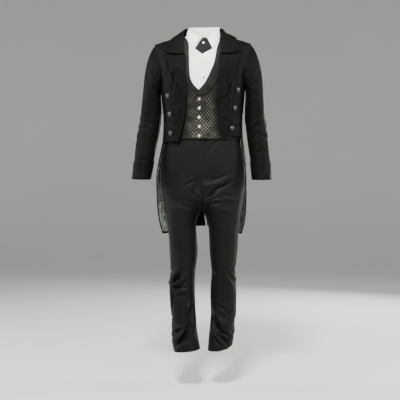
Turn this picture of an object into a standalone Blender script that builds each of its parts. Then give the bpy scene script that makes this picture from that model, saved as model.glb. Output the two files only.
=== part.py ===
# Evening suit as worn, hollow: tailcoat, waistcoat, shirt front, tie and trousers.
# Metres, +Z up. The front faces -Y and the wearer's left is +X.
# The origin is the middle of the shoulder line, between the two shoulder tips.

import math
from collections import namedtuple

import bmesh
import bpy
from mathutils import Matrix, Vector

# Driving dimensions
SHOULDER_HALF = 0.2136
SHOULDER_DROP = 0.0215
NECK_POINT_Z = 0.030
UNDERARM_Z = -0.205
COAT_WALL = 0.0024
WAISTCOAT_WALL = 0.0018
SHIRT_WALL = 0.0012
SHIRT_LIFT = -0.0010
TROUSER_WALL = 0.0016
LINING_WALL = 0.0010
GAP = 0.0003
SEAM = 0.0002
SEAM_TURN = 0.10
TAIL_STRIP_TURN = 0.15
SEAM_CORNER = 2.5
SHOULDER_TURN = 0.25
WAISTCOAT_LIFT = 0.0040
SHAWL_EASE = 0.0012
SHAWL_SHOULDER_EASE = 0.0032
LINING_EASE = 0.0014
COLLAR_EASE = 0.0054
OVERLAP_LIFT = 0.0030
TAIL_HEM_OUTER = -0.864
TAIL_HEM_CENTRE = -0.832
CUFF_DEPTH = 0.080
COAT_BUTTON = 0.0215
COAT_BUTTON_HEIGHT = 0.006
WAISTCOAT_BUTTON = 0.012
WAISTCOAT_BUTTON_HEIGHT = 0.004
TRIM_LIFT = 0.0012
BRAID_WALL = 0.0008
POCKET_EDGE_WALL = 0.0010
POCKET_EDGE_WIDTH = 0.007
WAISTBAND_WALL = 0.0030
STUD = 0.009
PIN = 0.011
SHIRT_CENTRE = 0.009
WAISTCOAT_BUTTON_X = -0.0105
WAISTBAND_TOP = -0.410
WAISTBAND_DEPTH = 0.036
CROTCH_Z = -0.757
BRAID_WIDTH = 0.014
BRAID_SHIFT = 6
TROUSER_ROWS = 26
ARMHOLE_FRONT_STEPS = 8
ARMHOLE_BACK_STEPS = 4
ARMHOLE_SIDE_STEPS = 4
SIDE_BACK_STEPS = 9
STRIP_STEPS = 8

SIDES = (("l", 1), ("r", -1))

# Horizontal sections: height, half width, depth to the front, depth to the back, squareness
Section = namedtuple("Section", "height half_width front back square")

BODY = [
    Section(0.075, 0.058, 0.056, 0.060, 2.00),
    Section(0.045, 0.062, 0.058, 0.064, 2.00),
    Section(0.030, 0.067, 0.059, 0.066, 2.00),
    Section(0.015, 0.075, 0.061, 0.072, 2.00),
    Section(0.000, 0.099, 0.065, 0.082, 2.05),
    Section(-0.010, 0.129, 0.069, 0.087, 2.00),
    Section(-0.022, 0.163, 0.075, 0.093, 2.00),
    Section(-0.036, 0.185, 0.082, 0.099, 2.10),
    Section(-0.060, 0.192, 0.094, 0.105, 2.25),
    Section(-0.100, 0.186, 0.110, 0.112, 2.40),
    Section(-0.150, 0.180, 0.119, 0.114, 2.40),
    Section(-0.200, 0.176, 0.122, 0.112, 2.30),
    Section(-0.260, 0.171, 0.119, 0.103, 2.20),
    Section(-0.320, 0.166, 0.114, 0.095, 2.20),
    Section(-0.360, 0.164, 0.112, 0.092, 2.20),
    Section(-0.420, 0.167, 0.112, 0.098, 2.20),
    Section(-0.480, 0.173, 0.114, 0.110, 2.20),
]

COAT = [
    Section(0.060, 0.0720, 0.064, 0.080, 2.00),
    Section(0.045, 0.0765, 0.066, 0.082, 2.00),
    Section(0.030, 0.084, 0.069, 0.086, 2.00),
    Section(0.015, 0.102, 0.073, 0.091, 2.00),
    Section(0.003, 0.130, 0.079, 0.097, 2.00),
    Section(-0.009, 0.171, 0.085, 0.103, 2.00),
    Section(-SHOULDER_DROP, SHOULDER_HALF, 0.091, 0.110, 2.05),
    Section(-0.060, 0.2120, 0.110, 0.119, 2.25),
    Section(-0.100, 0.2050, 0.125, 0.125, 2.40),
    Section(-0.150, 0.1960, 0.136, 0.127, 2.40),
    Section(-0.200, 0.1890, 0.139, 0.124, 2.30),
    Section(-0.260, 0.1840, 0.138, 0.116, 2.20),
    Section(-0.320, 0.1785, 0.135, 0.107, 2.20),
    Section(-0.360, 0.1765, 0.134, 0.104, 2.20),
    Section(-0.400, 0.1770, 0.133, 0.108, 2.20),
    Section(-0.450, 0.1800, 0.132, 0.120, 2.20),
    Section(-0.500, 0.1890, 0.131, 0.136, 2.20),
    Section(-0.560, 0.1970, 0.130, 0.150, 2.30),
    Section(-0.640, 0.2010, 0.130, 0.160, 2.40),
    Section(-0.740, 0.2030, 0.130, 0.168, 2.50),
    Section(-0.820, 0.1980, 0.130, 0.173, 2.50),
    Section(-0.880, 0.1860, 0.130, 0.176, 2.50),
]
TAIL_SWING = 0.008
NECK_SHIFT = 0.004

# Trouser sections of each leg: height, outer side, inner side, middle of the leg in y, half depths
LegRow = namedtuple("LegRow", "height outer inner middle front back")
LEGS = {
    "l": [
        LegRow(-0.440, 0.1700, -0.1700, 0.000, 0.1115, 0.102),
        LegRow(-0.480, 0.1740, -0.1740, 0.000, 0.1130, 0.110),
        LegRow(-0.540, 0.1800, -0.1800, 0.000, 0.1150, 0.122),
        LegRow(-0.600, 0.1830, -0.1760, 0.000, 0.1150, 0.128),
        LegRow(-0.660, 0.1820, -0.1350, 0.000, 0.1130, 0.126),
        LegRow(-0.710, 0.1770, -0.0750, 0.000, 0.1090, 0.120),
        LegRow(-0.745, 0.1710, -0.0200, -0.001, 0.1040, 0.113),
        LegRow(-0.765, 0.1675, 0.0070, -0.002, 0.1010, 0.108),
        LegRow(-0.800, 0.1620, 0.0180, -0.003, 0.0960, 0.102),
        LegRow(-0.850, 0.1560, 0.0260, -0.004, 0.0900, 0.095),
        LegRow(-0.920, 0.1530, 0.0300, -0.006, 0.0830, 0.086),
        LegRow(-0.970, 0.1480, 0.0320, -0.008, 0.0780, 0.079),
        LegRow(-1.030, 0.1440, 0.0380, -0.009, 0.0720, 0.071),
        LegRow(-1.080, 0.1460, 0.0360, -0.007, 0.0680, 0.071),
        LegRow(-1.150, 0.1475, 0.0335, -0.004, 0.0650, 0.074),
        LegRow(-1.220, 0.1430, 0.0355, -0.002, 0.0640, 0.073),
        LegRow(-1.270, 0.1370, 0.0310, -0.003, 0.0640, 0.070),
        LegRow(-1.320, 0.1350, 0.0260, -0.006, 0.0640, 0.068),
        LegRow(-1.390, 0.1200, 0.0200, -0.010, 0.0640, 0.068),
    ],
    "r": [
        LegRow(-0.440, 0.1720, -0.1720, 0.000, 0.1115, 0.102),
        LegRow(-0.480, 0.1780, -0.1780, 0.000, 0.1130, 0.110),
        LegRow(-0.540, 0.1850, -0.1850, 0.000, 0.1150, 0.122),
        LegRow(-0.600, 0.1885, -0.1800, 0.000, 0.1150, 0.128),
        LegRow(-0.660, 0.1850, -0.1350, 0.000, 0.1130, 0.126),
        LegRow(-0.710, 0.1760, -0.0700, -0.002, 0.1090, 0.120),
        LegRow(-0.745, 0.1690, -0.0100, -0.004, 0.1040, 0.113),
        LegRow(-0.765, 0.1650, 0.0190, -0.006, 0.1010, 0.108),
        LegRow(-0.800, 0.1590, 0.0280, -0.009, 0.0960, 0.102),
        LegRow(-0.850, 0.1530, 0.0270, -0.013, 0.0900, 0.095),
        LegRow(-0.920, 0.1470, 0.0220, -0.018, 0.0830, 0.086),
        LegRow(-0.970, 0.1450, 0.0250, -0.022, 0.0780, 0.079),
        LegRow(-1.030, 0.1420, 0.0320, -0.026, 0.0720, 0.071),
        LegRow(-1.080, 0.1460, 0.0340, -0.027, 0.0680, 0.071),
        LegRow(-1.150, 0.1430, 0.0330, -0.027, 0.0650, 0.074),
        LegRow(-1.220, 0.1360, 0.0300, -0.028, 0.0640, 0.073),
        LegRow(-1.270, 0.1350, 0.0260, -0.030, 0.0640, 0.070),
        LegRow(-1.320, 0.1360, 0.0180, -0.033, 0.0640, 0.068),
        LegRow(-1.390, 0.1240, 0.0040, -0.038, 0.0640, 0.068),
    ],
}

# Hem height at the inseam, front, outseam and back of each leg
HEMS = {
    "l": (-1.3740, -1.3700, -1.3560, -1.3860),
    "r": (-1.3640, -1.3700, -1.3760, -1.3880),
}

# Folds of the trousers: leg, angle round the leg, height, slope, half length, half width, depth
Fold = namedtuple("Fold", "leg angle height slope length width depth")
FOLDS = [
    Fold("l", 105, -0.622, 18, 0.050, 0.010, -0.0030),
    Fold("l", 103, -0.645, 24, 0.050, 0.010, 0.0035),
    Fold("l", 98, -0.672, 30, 0.048, 0.011, -0.0055),
    Fold("l", 112, -0.694, -8, 0.050, 0.014, 0.0040),
    Fold("l", 84, -0.716, 14, 0.045, 0.013, -0.0035),
    Fold("r", 80, -0.655, 66, 0.035, 0.010, -0.0040),
    Fold("r", 92, -0.690, 20, 0.045, 0.012, 0.0030),
    Fold("r", 84, -0.722, 12, 0.045, 0.013, -0.0035),
    Fold("r", 132, -1.046, -57, 0.034, 0.010, 0.0060),
    Fold("r", 119, -1.059, -45, 0.030, 0.010, -0.0055),
    Fold("r", 104, -1.070, -28, 0.034, 0.010, 0.0055),
    Fold("r", 100, -1.086, -14, 0.040, 0.009, -0.0040),
    Fold("r", 92, -1.104, -4, 0.042, 0.010, 0.0040),
    Fold("l", 70, -1.028, -30, 0.040, 0.014, 0.0030),
    Fold("l", 62, -1.148, -62, 0.045, 0.013, 0.0045),
    Fold("r", 38, -1.225, -84, 0.070, 0.012, 0.0040),
    Fold("r", 78, -1.285, -60, 0.056, 0.013, -0.0065),
    Fold("r", 108, -1.312, -50, 0.040, 0.012, 0.0060),
    Fold("r", 136, -1.330, -40, 0.030, 0.012, -0.0040),
    Fold("r", 16, -1.328, 82, 0.040, 0.009, -0.0060),
    Fold("l", 48, -1.210, -62, 0.046, 0.012, 0.0055),
    Fold("l", 58, -1.246, -58, 0.044, 0.012, -0.0060),
    Fold("l", 104, -1.254, -34, 0.036, 0.013, 0.0055),
    Fold("l", 70, -1.306, -50, 0.044, 0.011, 0.0055),
    Fold("l", 92, -1.318, -45, 0.038, 0.010, -0.0060),
    Fold("l", 255, -0.800, 20, 0.060, 0.014, -0.0040),
    Fold("r", 255, -0.800, 20, 0.060, 0.014, -0.0040),
    Fold("l", 262, -1.060, 8, 0.045, 0.014, -0.0045),
    Fold("r", 268, -1.070, -6, 0.045, 0.014, -0.0045),
    Fold("l", 270, -1.300, -30, 0.045, 0.014, 0.0040),
    Fold("r", 265, -1.310, 26, 0.045, 0.014, 0.0040),
]

# Sleeves below the underarm: height, inner side, outer side, middle in y, half depth front to back
ArmRow = namedtuple("ArmRow", "height inner outer middle depth")
ARMS = {
    "l": [
        ArmRow(-0.262, 0.1885, 0.2715, 0.006, 0.0640),
        ArmRow(-0.300, 0.1850, 0.2745, 0.009, 0.0625),
        ArmRow(-0.345, 0.1850, 0.2795, 0.011, 0.0610),
        ArmRow(-0.390, 0.1890, 0.2845, 0.009, 0.0595),
        ArmRow(-0.460, 0.1985, 0.2920, 0.002, 0.0570),
        ArmRow(-0.540, 0.2100, 0.2980, -0.010, 0.0545),
        ArmRow(-0.630, 0.2190, 0.3010, -0.026, 0.0520),
    ],
    "r": [
        ArmRow(-0.262, 0.1885, 0.2715, 0.006, 0.0640),
        ArmRow(-0.300, 0.1855, 0.2760, 0.008, 0.0625),
        ArmRow(-0.345, 0.1860, 0.2830, 0.009, 0.0610),
        ArmRow(-0.390, 0.1905, 0.2900, 0.006, 0.0595),
        ArmRow(-0.460, 0.2040, 0.3000, -0.002, 0.0570),
        ArmRow(-0.540, 0.2190, 0.3060, -0.014, 0.0545),
        ArmRow(-0.630, 0.2350, 0.3120, -0.030, 0.0510),
    ],
}
CUFF_HEM = {"l": -0.622, "r": -0.620}

# Folds of the sleeves: arm, angle round the arm, distance down the sleeve as a share, slope, half
# length, half width, depth
SLEEVE_FOLDS = [
    Fold("l", 20, 0.30, 55, 0.060, 0.014, -0.0035),
    Fold("l", 60, 0.52, 35, 0.050, 0.013, -0.0035),
    Fold("l", 55, 0.60, -30, 0.045, 0.013, 0.0030),
    Fold("r", 25, 0.32, 60, 0.060, 0.014, -0.0035),
    Fold("r", 60, 0.55, 35, 0.050, 0.013, -0.0035),
    Fold("r", 60, 0.63, -25, 0.045, 0.013, 0.0030),
]

# Finishes: colour, roughness, metallic
FINISHES = {
    "coat_wool": ((0.010, 0.010, 0.012, 1.0), 0.85, 0.0),
    "trouser_wool": ((0.010, 0.010, 0.013, 1.0), 0.80, 0.0),
    "satin_lining": ((0.16, 0.19, 0.16, 1.0), 0.45, 0.0),
    "brocade": ((0.13, 0.13, 0.08, 1.0), 0.60, 0.0),
    "waistcoat_back": ((0.02, 0.02, 0.02, 1.0), 0.50, 0.0),
    "shirt_cotton": ((0.82, 0.81, 0.82, 1.0), 0.75, 0.0),
    "tie_silk": ((0.015, 0.015, 0.017, 1.0), 0.50, 0.0),
    "braid": ((0.012, 0.012, 0.014, 1.0), 0.35, 0.0),
    "horn": ((0.012, 0.012, 0.012, 1.0), 0.30, 0.0),
    "silver": ((0.75, 0.75, 0.73, 1.0), 0.25, 1.0),
    "pearl": ((0.80, 0.79, 0.76, 1.0), 0.25, 0.0),
    "stud": ((0.25, 0.26, 0.28, 1.0), 0.35, 0.5),
}


# Curves and tables

def clear_scene():
    for thing in list(bpy.data.objects):
        bpy.data.objects.remove(thing, do_unlink=True)


def cubic(before, start, end, after, share):
    square = share * share
    cube = square * share
    return 0.5 * (2 * start + (end - before) * share
                  + (2 * before - 5 * start + 4 * end - after) * square
                  + (3 * start - before - 3 * end + after) * cube)


def table_row(rows, height):
    """All columns of a table at a height, smooth between its rows."""
    order = sorted(rows, key=lambda row: -row[0])
    height = min(max(height, order[-1][0]), order[0][0])
    last = len(order) - 1
    place = next((i for i in range(last) if order[i + 1][0] <= height), last - 1)
    top, low = order[place], order[place + 1]
    share = (top[0] - height) / (top[0] - low[0])
    values = []
    for column in range(1, len(top)):
        slopes = []
        for here in (place, place + 1):
            above, below = order[max(here - 1, 0)], order[min(here + 1, last)]
            slopes.append((below[column] - above[column]) / (below[0] - above[0]))
        step = low[0] - top[0]
        square, cube = share ** 2, share ** 3
        values.append((2 * cube - 3 * square + 1) * top[column]
                      + (cube - 2 * square + share) * step * slopes[0]
                      + (3 * square - 2 * cube) * low[column]
                      + (cube - square) * step * slopes[1])
    return values


def signed_power(value, power):
    return math.copysign(abs(value) ** power, value)


def smooth_step(value):
    value = min(max(value, 0.0), 1.0)
    return value * value * (3 - 2 * value)


TURN_TO_LENGTH = 0.0030


def smooth_path(points, steps=12):
    """A function of 0..1 that runs along a smooth curve through points, at an even pace."""
    points = [tuple(point) for point in points]
    dense = []
    for i in range(len(points) - 1):
        before, start, end = points[max(i - 1, 0)], points[i], points[i + 1]
        after = points[min(i + 2, len(points) - 1)]
        for step in range(steps):
            share = step / steps
            dense.append(tuple(cubic(b, s, e, a, share) for b, s, e, a in zip(before, start, end, after)))
    dense.append(points[-1])
    return even_path(dense)


def even_path(dense):
    reach = [0.0]
    for start, end in zip(dense, dense[1:]):
        across = (end[0] - start[0]) * TURN_TO_LENGTH
        reach.append(reach[-1] + math.hypot(across, end[1] - start[1]))

    def point(share):
        goal = min(max(share, 0.0), 1.0) * reach[-1]
        place = next((i for i in range(len(dense) - 1) if reach[i + 1] >= goal), len(dense) - 2)
        span = reach[place + 1] - reach[place]
        part = (goal - reach[place]) / span if span else 0.0
        return tuple(a + (b - a) * part for a, b in zip(dense[place], dense[place + 1]))

    return point


def join_paths(pieces):
    """Paths one after another: each has its share of the whole 0..1."""
    def point(share):
        start = 0.0
        for width, path in pieces[:-1]:
            if share < start + width:
                return path((share - start) / width)
            start += width
        width, path = pieces[-1]
        return path((share - start) / width)

    return point


def patch(left, right, top, bottom, top_reach=0.5, bottom_reach=0.5):
    """A flat map of the cut piece in turn and height, filled in from its four edges.

    The bends of the top and bottom edges fade out over their reach, as shares of the length.
    """
    corners = (top(0.0), top(1.0), bottom(0.0), bottom(1.0))

    def point(across, down):
        fade_top = smooth_step(1 - down / top_reach)
        fade_bottom = smooth_step(1 - (1 - down) / bottom_reach)
        a, b, c, d = left(down), right(down), top(across), bottom(across)
        result = []
        for i in range(2):
            level_top = (1 - across) * corners[0][i] + across * corners[1][i]
            level_bottom = (1 - across) * corners[2][i] + across * corners[3][i]
            result.append((1 - across) * a[i] + across * b[i]
                          + fade_top * (c[i] - level_top) + fade_bottom * (d[i] - level_bottom))
        return tuple(result)

    return point


# Surfaces. Each takes two measures and gives a point; its outward side is du x dv times facing.

def ring_point(rows, turn, height):
    half_width, front, back, square = table_row(rows, height)
    angle = math.radians(turn)
    power = 2.0 / square
    depth = front if math.cos(angle) > 0 else back
    return Vector((half_width * signed_power(math.sin(angle), power),
                   -depth * signed_power(math.cos(angle), power), height))


def body_skin(turn, height):
    return ring_point(BODY, turn, height)


def coat_skin(turn, height):
    """The coat: its tails hang a little to the wearer's right, its neck sits a little to the left."""
    point = ring_point(COAT, turn, height)
    point.x -= TAIL_SWING * smooth_step((-0.45 - height) / 0.20)
    point.x += NECK_SHIFT * smooth_step((height - 0.010) / 0.035)
    return point


def turn_at(rows, x, height):
    """The turn from centre front at which a section reaches x, on the front half."""
    half_width, _, _, square = table_row(rows, height)
    ratio = min(abs(x) / half_width, 1.0)
    return math.copysign(math.degrees(math.asin(ratio ** (square / 2.0))), x)


def back_turn_at(rows, x, height):
    return math.copysign(180.0, x) - turn_at(rows, x, height)


def lifted(skin, u, v, lift, facing=1, step_u=0.6, step_v=0.0015):
    point = skin(u, v)
    across = skin(u + step_u, v) - skin(u - step_u, v)
    down = skin(u, v + step_v) - skin(u, v - step_v)
    normal = across.cross(down) * facing
    if normal.length < 1e-12:
        return point
    return point + normal.normalized() * lift


def crease_depth(folds, name, angle, height, radius):
    depth = 0.0
    for fold in folds:
        if fold.leg != name:
            continue
        turn = (angle - fold.angle + 180) % 360 - 180
        across = math.radians(turn) * radius
        up = height - fold.height
        slope = math.radians(fold.slope)
        along = across * math.cos(slope) + up * math.sin(slope)
        off = -across * math.sin(slope) + up * math.cos(slope)
        depth += fold.depth * math.exp(-(off / fold.width) ** 2 - (along / fold.length) ** 2)
    return depth


def leg_numbers(name, height):
    outer, inner, middle, front, back = table_row(LEGS[name], height)
    return (outer + inner) / 2, (outer - inner) / 2, middle, front, back


def leg_skin(name, side):
    def skin(angle, height):
        centre, half, middle, front, back = leg_numbers(name, height)
        fold = crease_depth(FOLDS, name, angle, height, 0.065)
        turn = math.radians(angle)
        power = 0.93
        depth = (front if math.sin(turn) > 0 else back) + fold
        return Vector((side * (centre - (half + fold * 0.6) * signed_power(math.cos(turn), power)),
                       middle - depth * signed_power(math.sin(turn), power), height))

    return skin


def leg_start(name, height):
    """The angle at which the leg leaves the middle plane of the body, 0 below the crotch."""
    centre, half, _, _, _ = leg_numbers(name, height)
    ratio = min(max((centre - SEAM) / half, -1.0), 1.0)
    return math.degrees(math.acos(signed_power(ratio, 1 / 0.93)))


def hem_height(name, angle):
    inseam, front, outseam, back = HEMS[name]
    turn = math.radians(angle)
    side = (1 - math.cos(turn)) / 2
    level = inseam + (outseam - inseam) * side
    mean = (inseam + outseam) / 2
    rise = (front - mean) if math.sin(turn) > 0 else (back - mean)
    return level + rise * math.sin(turn) ** 2


# Armhole of the coat, in turn and height: from the shoulder tip to the underarm, front and back

ARMHOLE_FRONT = smooth_path([(90 - SEAM_TURN, -SHOULDER_DROP), (76, -0.040), (66, -0.080), (62.5, -0.120),
                             (65, -0.160), (74, -0.192), (90, UNDERARM_Z)])
ARMHOLE_BACK = smooth_path([(90 + SEAM_TURN, -SHOULDER_DROP), (104, -0.042), (113, -0.080), (117, -0.118)])
ARMHOLE_SIDE = smooth_path([(117, -0.118), (115, -0.160), (106, -0.191), (90, UNDERARM_Z)])


SLEEVE_HEAD_SHARE = 0.34
SLEEVE_HEAD_LIFT = 0.0008
SLEEVE_SEAM_TURN = 0.30


def armhole_turn(angle):
    """Where the armhole is at an angle round the arm: 0 on top, 90 in front, 270 behind."""
    angle = angle % 360.0
    back_steps = ARMHOLE_BACK_STEPS + ARMHOLE_SIDE_STEPS
    side_reach = 180.0 * ARMHOLE_SIDE_STEPS / back_steps
    if angle <= 180.0:
        return ARMHOLE_FRONT(angle / 180.0)
    if angle <= 180.0 + side_reach:
        return ARMHOLE_SIDE(1 - (angle - 180.0) / side_reach)
    return ARMHOLE_BACK(1 - (angle - 180.0 - side_reach) / (180.0 - side_reach))


def armhole_point(angle, side):
    """The sleeve's first loop: on the armhole, just outside the coat."""
    turn, height = armhole_turn(angle)
    lift = SLEEVE_HEAD_LIFT + COAT_WALL * (0.55 + 0.45 * math.cos(math.radians(angle)))
    point = lifted(coat_skin, side * turn, height, lift)
    centre = Vector((point.x, 0.0, (-SHOULDER_DROP + UNDERARM_Z) / 2))
    return point + (centre - point).normalized() * SEAM * 2


def arm_ring(name, side, angle, height):
    inner, outer, middle, depth = table_row(ARMS[name], height)
    turn = math.radians(angle)
    centre, half = (inner + outer) / 2, (outer - inner) / 2
    return Vector((side * (centre + half * math.cos(turn)), middle - depth * math.sin(turn), height))


def sleeve_skin(name, side):
    """Down the sleeve by share: the head bends from the armhole to a level ring, then the arm."""
    first = ARMS[name][0].height

    def skin(angle, share):
        low = CUFF_HEM[name]
        if share >= SLEEVE_HEAD_SHARE:
            height = first + (low - first) * (share - SLEEVE_HEAD_SHARE) / (1 - SLEEVE_HEAD_SHARE)
            point = arm_ring(name, side, angle, height)
        else:
            start, end = armhole_point(angle, side), arm_ring(name, side, angle, first)
            reach = (end - start).length
            top = 0.5 + 0.5 * math.cos(math.radians(angle))
            leave = Vector((side * 0.52 * top, 0.0, -0.86 - 0.14 * (1 - top))).normalized() * reach
            arrive = Vector((side * 0.06, 0.0, -1.0)).normalized() * reach
            part = share / SLEEVE_HEAD_SHARE
            square, cube = part ** 2, part ** 3
            point = (start * (2 * cube - 3 * square + 1) + leave * (cube - 2 * square + part)
                     + end * (3 * square - 2 * cube) + arrive * (cube - square))
        fold = crease_depth(SLEEVE_FOLDS, name, angle, share * 0.60, 0.055)
        turn = math.radians(angle)
        return point + Vector((side * math.cos(turn), -math.sin(turn), 0.0)) * fold

    return skin


# Building of solids

MATERIALS = {}


def finish(name):
    if name not in MATERIALS:
        colour, roughness, metallic = FINISHES[name]
        material = bpy.data.materials.new(name)
        material.use_nodes = True
        shader = material.node_tree.nodes["Principled BSDF"]
        shader.inputs["Base Color"].default_value = colour
        shader.inputs["Roughness"].default_value = roughness
        shader.inputs["Metallic"].default_value = metallic
        material.diffuse_color = colour
        MATERIALS[name] = material
    return MATERIALS[name]


def add_object(name, mesh_maker, finish_name):
    mesh = bpy.data.meshes.new(name)
    mesh_maker.to_mesh(mesh)
    mesh_maker.free()
    mesh.shade_smooth()
    mesh.set_sharp_from_angle(angle=math.radians(38))
    thing = bpy.data.objects.new(name, mesh)
    bpy.context.scene.collection.objects.link(thing)
    mesh.materials.append(finish(finish_name))
    return thing


def add_wall(name, finish_name, outer, inner, wrap=False):
    """A closed wall between two grids of points, with its rims; wrap joins last column to first."""
    maker = bmesh.new()
    rows, columns = len(outer), len(outer[0])
    front = [[maker.verts.new(point) for point in row] for row in outer]
    back = [[maker.verts.new(point) for point in row] for row in inner]
    spans = columns if wrap else columns - 1

    def quad(a, b, c, d):
        maker.faces.new((a, b, c, d))

    for i in range(rows - 1):
        for j in range(spans):
            k = (j + 1) % columns
            quad(front[i][j], front[i + 1][j], front[i + 1][k], front[i][k])
            quad(back[i][j], back[i][k], back[i + 1][k], back[i + 1][j])
    for j in range(spans):
        k = (j + 1) % columns
        quad(front[0][j], front[0][k], back[0][k], back[0][j])
        quad(front[-1][k], front[-1][j], back[-1][j], back[-1][k])
    if not wrap:
        for i in range(rows - 1):
            quad(front[i + 1][0], front[i][0], back[i][0], back[i + 1][0])
            quad(front[i][-1], front[i + 1][-1], back[i + 1][-1], back[i][-1])
    if maker.calc_volume(signed=True) < 0:
        bmesh.ops.reverse_faces(maker, faces=maker.faces)
    return add_object(name, maker, finish_name)


def grid(columns, rows, place):
    return [[place(j / columns, i / rows) for j in range(columns + 1)] for i in range(rows + 1)]


def cloth(name, finish_name, skin, cut, size, lift, thickness, facing=1, steps=(0.6, 0.0015)):
    """A wall of cloth: the cut piece laid on a surface, its outer face lifted off that surface."""
    def height_of(u, v):
        return lift(u, v) if callable(lift) else lift

    places = grid(size[0], size[1], cut)
    outer = [[lifted(skin, u, v, height_of(u, v), facing, *steps) for u, v in row] for row in places]
    inner = [[lifted(skin, u, v, height_of(u, v) - thickness, facing, *steps) for u, v in row]
             for row in places]
    return add_wall(name, finish_name, outer, inner)


def mirrored(side, cut):
    def point(across, down):
        turn, height = cut(across, down)
        return side * turn, height

    return point


def dome(name, finish_name, place, normal, profile, sides=12):
    """A button or stud: a turned profile of radius and height, standing on a surface."""
    maker = bmesh.new()
    rings = []
    for radius, height in profile:
        ring = []
        for i in range(sides):
            angle = 2 * math.pi * i / sides
            ring.append(maker.verts.new((radius * math.cos(angle), radius * math.sin(angle), height)))
        rings.append(ring)
    for low, high in zip(rings, rings[1:]):
        for i in range(sides):
            k = (i + 1) % sides
            maker.faces.new((low[i], low[k], high[k], high[i]))
    maker.faces.new(list(reversed(rings[0])))
    maker.faces.new(rings[-1])
    thing = add_object(name, maker, finish_name)
    turn = Vector((0, 0, 1)).rotation_difference(normal).to_matrix().to_4x4()
    thing.matrix_world = Matrix.Translation(place) @ turn
    return thing


def button_profile(diameter, thickness):
    radius = diameter / 2
    return [(radius * 0.88, 0.0), (radius, thickness * 0.35), (radius * 0.80, thickness * 0.82),
            (radius * 0.40, thickness)]


def on_surface(skin, turn, height, lift):
    place = lifted(skin, turn, height, lift)
    return place, (lifted(skin, turn, height, lift + 0.01) - place).normalized()


# Coat

# Front edge and roll line of each forepart, from the neck down: x and height
COAT_EDGES = {
    "l": [(0.0880, 0.030), (0.0845, 0.016), (0.0820, 0.002), (0.0785, -0.070), (0.0728, -0.158),
          (0.0685, -0.230), (0.0677, -0.291), (0.0700, -0.347), (0.0765, -0.395), (0.0850, -0.436)],
    "r": [(0.0880, 0.030), (0.0835, 0.016), (0.0800, 0.002), (0.0730, -0.070), (0.0700, -0.131),
          (0.0655, -0.200), (0.0637, -0.260), (0.0670, -0.320), (0.0800, -0.389), (0.0995, -0.459)],
}
# Outer edge of each lapel, from the notch down to the front edge
LAPEL_EDGES = {
    "l": [(0.1640, -0.0760), (0.1500, -0.120), (0.1320, -0.175), (0.1130, -0.224), (0.0930, -0.268),
          (0.0700, -0.300)],
    "r": [(0.1560, -0.0820), (0.1440, -0.115), (0.1270, -0.160), (0.1080, -0.200), (0.0890, -0.245),
          (0.0655, -0.298)],
}
GORGE = {"l": (0.0780, -0.0860), "r": (0.0735, -0.0860)}
ROLL_END = {"l": (0.0680, -0.303), "r": (0.0660, -0.303)}
WAIST_FRONT = {"l": -0.436, "r": -0.459}
WAIST_SIDE = {"l": -0.440, "r": -0.450}
WAIST_BACK = -0.405
TAIL_START_TURN = 66
TAIL_COLUMNS = 8
TAIL_SIDE_STEPS = 2
STRIP_AT_WAIST = 0.040
STRIP_AT_HEM = 0.070
VENT = 0.003
SIDE_BACK_SEAM = [(117, -0.118), (129, -0.170), (142, -0.235), (153, -0.300), (160, -0.350)]


def edge_in_turns(rows, points):
    return [(turn_at(rows, x, height), height) for x, height in points]


def waist_height(name, turn):
    """The waist seam of the coat: level with the front's hem, rising to the back."""
    if turn <= 90:
        share = min(max((turn - 55) / 35, 0.0), 1.0)
        return WAIST_FRONT[name] + (WAIST_SIDE[name] - WAIST_FRONT[name]) * share
    share = min((turn - 90) / (strip_edge(WAIST_BACK) - 90), 1.0)
    return WAIST_SIDE[name] + (WAIST_BACK - WAIST_SIDE[name]) * share


def waist_path(name, start, end, offset, columns=12):
    """A stretch of the waist seam, straight between its corners."""
    turns = [start + (end - start) * i / columns for i in range(columns + 1)]
    return even_path([(turn, waist_height(name, turn) + offset) for turn in turns])


def strip_edge(height):
    share = smooth_step((WAIST_BACK - height) / (WAIST_BACK - TAIL_HEM_OUTER))
    x = STRIP_AT_WAIST + (STRIP_AT_HEM - STRIP_AT_WAIST) * share
    return back_turn_at(COAT, x, height)


def tail_hem(turn):
    share = smooth_step((180 - turn) / 60)
    return TAIL_HEM_CENTRE + (TAIL_HEM_OUTER - TAIL_HEM_CENTRE) * share


def side_back_points(offset):
    """The curved seam from the back of the armhole to the waist, then the tail strip's edge."""
    seam = [(turn + offset, height) for turn, height in SIDE_BACK_SEAM]
    seam.append((strip_edge(WAIST_BACK) + offset * SEAM_CORNER, WAIST_BACK + SEAM))
    return seam


def strip_points(offset, start):
    points = []
    for i in range(8):
        height = start + (tail_hem(158) - start) * i / 7
        points.append((strip_edge(height) + offset, height))
    return points


def coat_front(name, side):
    rows = 14
    edge = COAT_EDGES[name]
    left = smooth_path(edge_in_turns(COAT, edge))
    seam_top = [(90 - SEAM_TURN, NECK_POINT_Z), (90 - SEAM_TURN, 0.010), (90 - SEAM_TURN, -SHOULDER_DROP)]
    corner = (90 - SEAM_TURN, waist_height(name, 90) + SEAM)
    side_seam = smooth_path([(90 - SEAM_TURN, UNDERARM_Z), (90 - SEAM_TURN, -0.32), corner])
    share = ARMHOLE_FRONT_STEPS / rows
    right = join_paths([(share, ARMHOLE_FRONT), (1 - share, side_seam)])
    first = left(1.0)
    hem = [first]
    for i in range(1, 8):
        turn = first[0] + (corner[0] - first[0]) * i / 8
        height = first[1] + (waist_height(name, turn) + SEAM - first[1]) * smooth_step(i / 3)
        hem.append((turn, height))
    hem.append(corner)
    cut = patch(left, right, smooth_path(seam_top), smooth_path(hem))
    cloth("coat_front_" + name, "coat_wool", coat_skin, mirrored(side, cut), (9, rows), 0.0, COAT_WALL)


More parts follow.
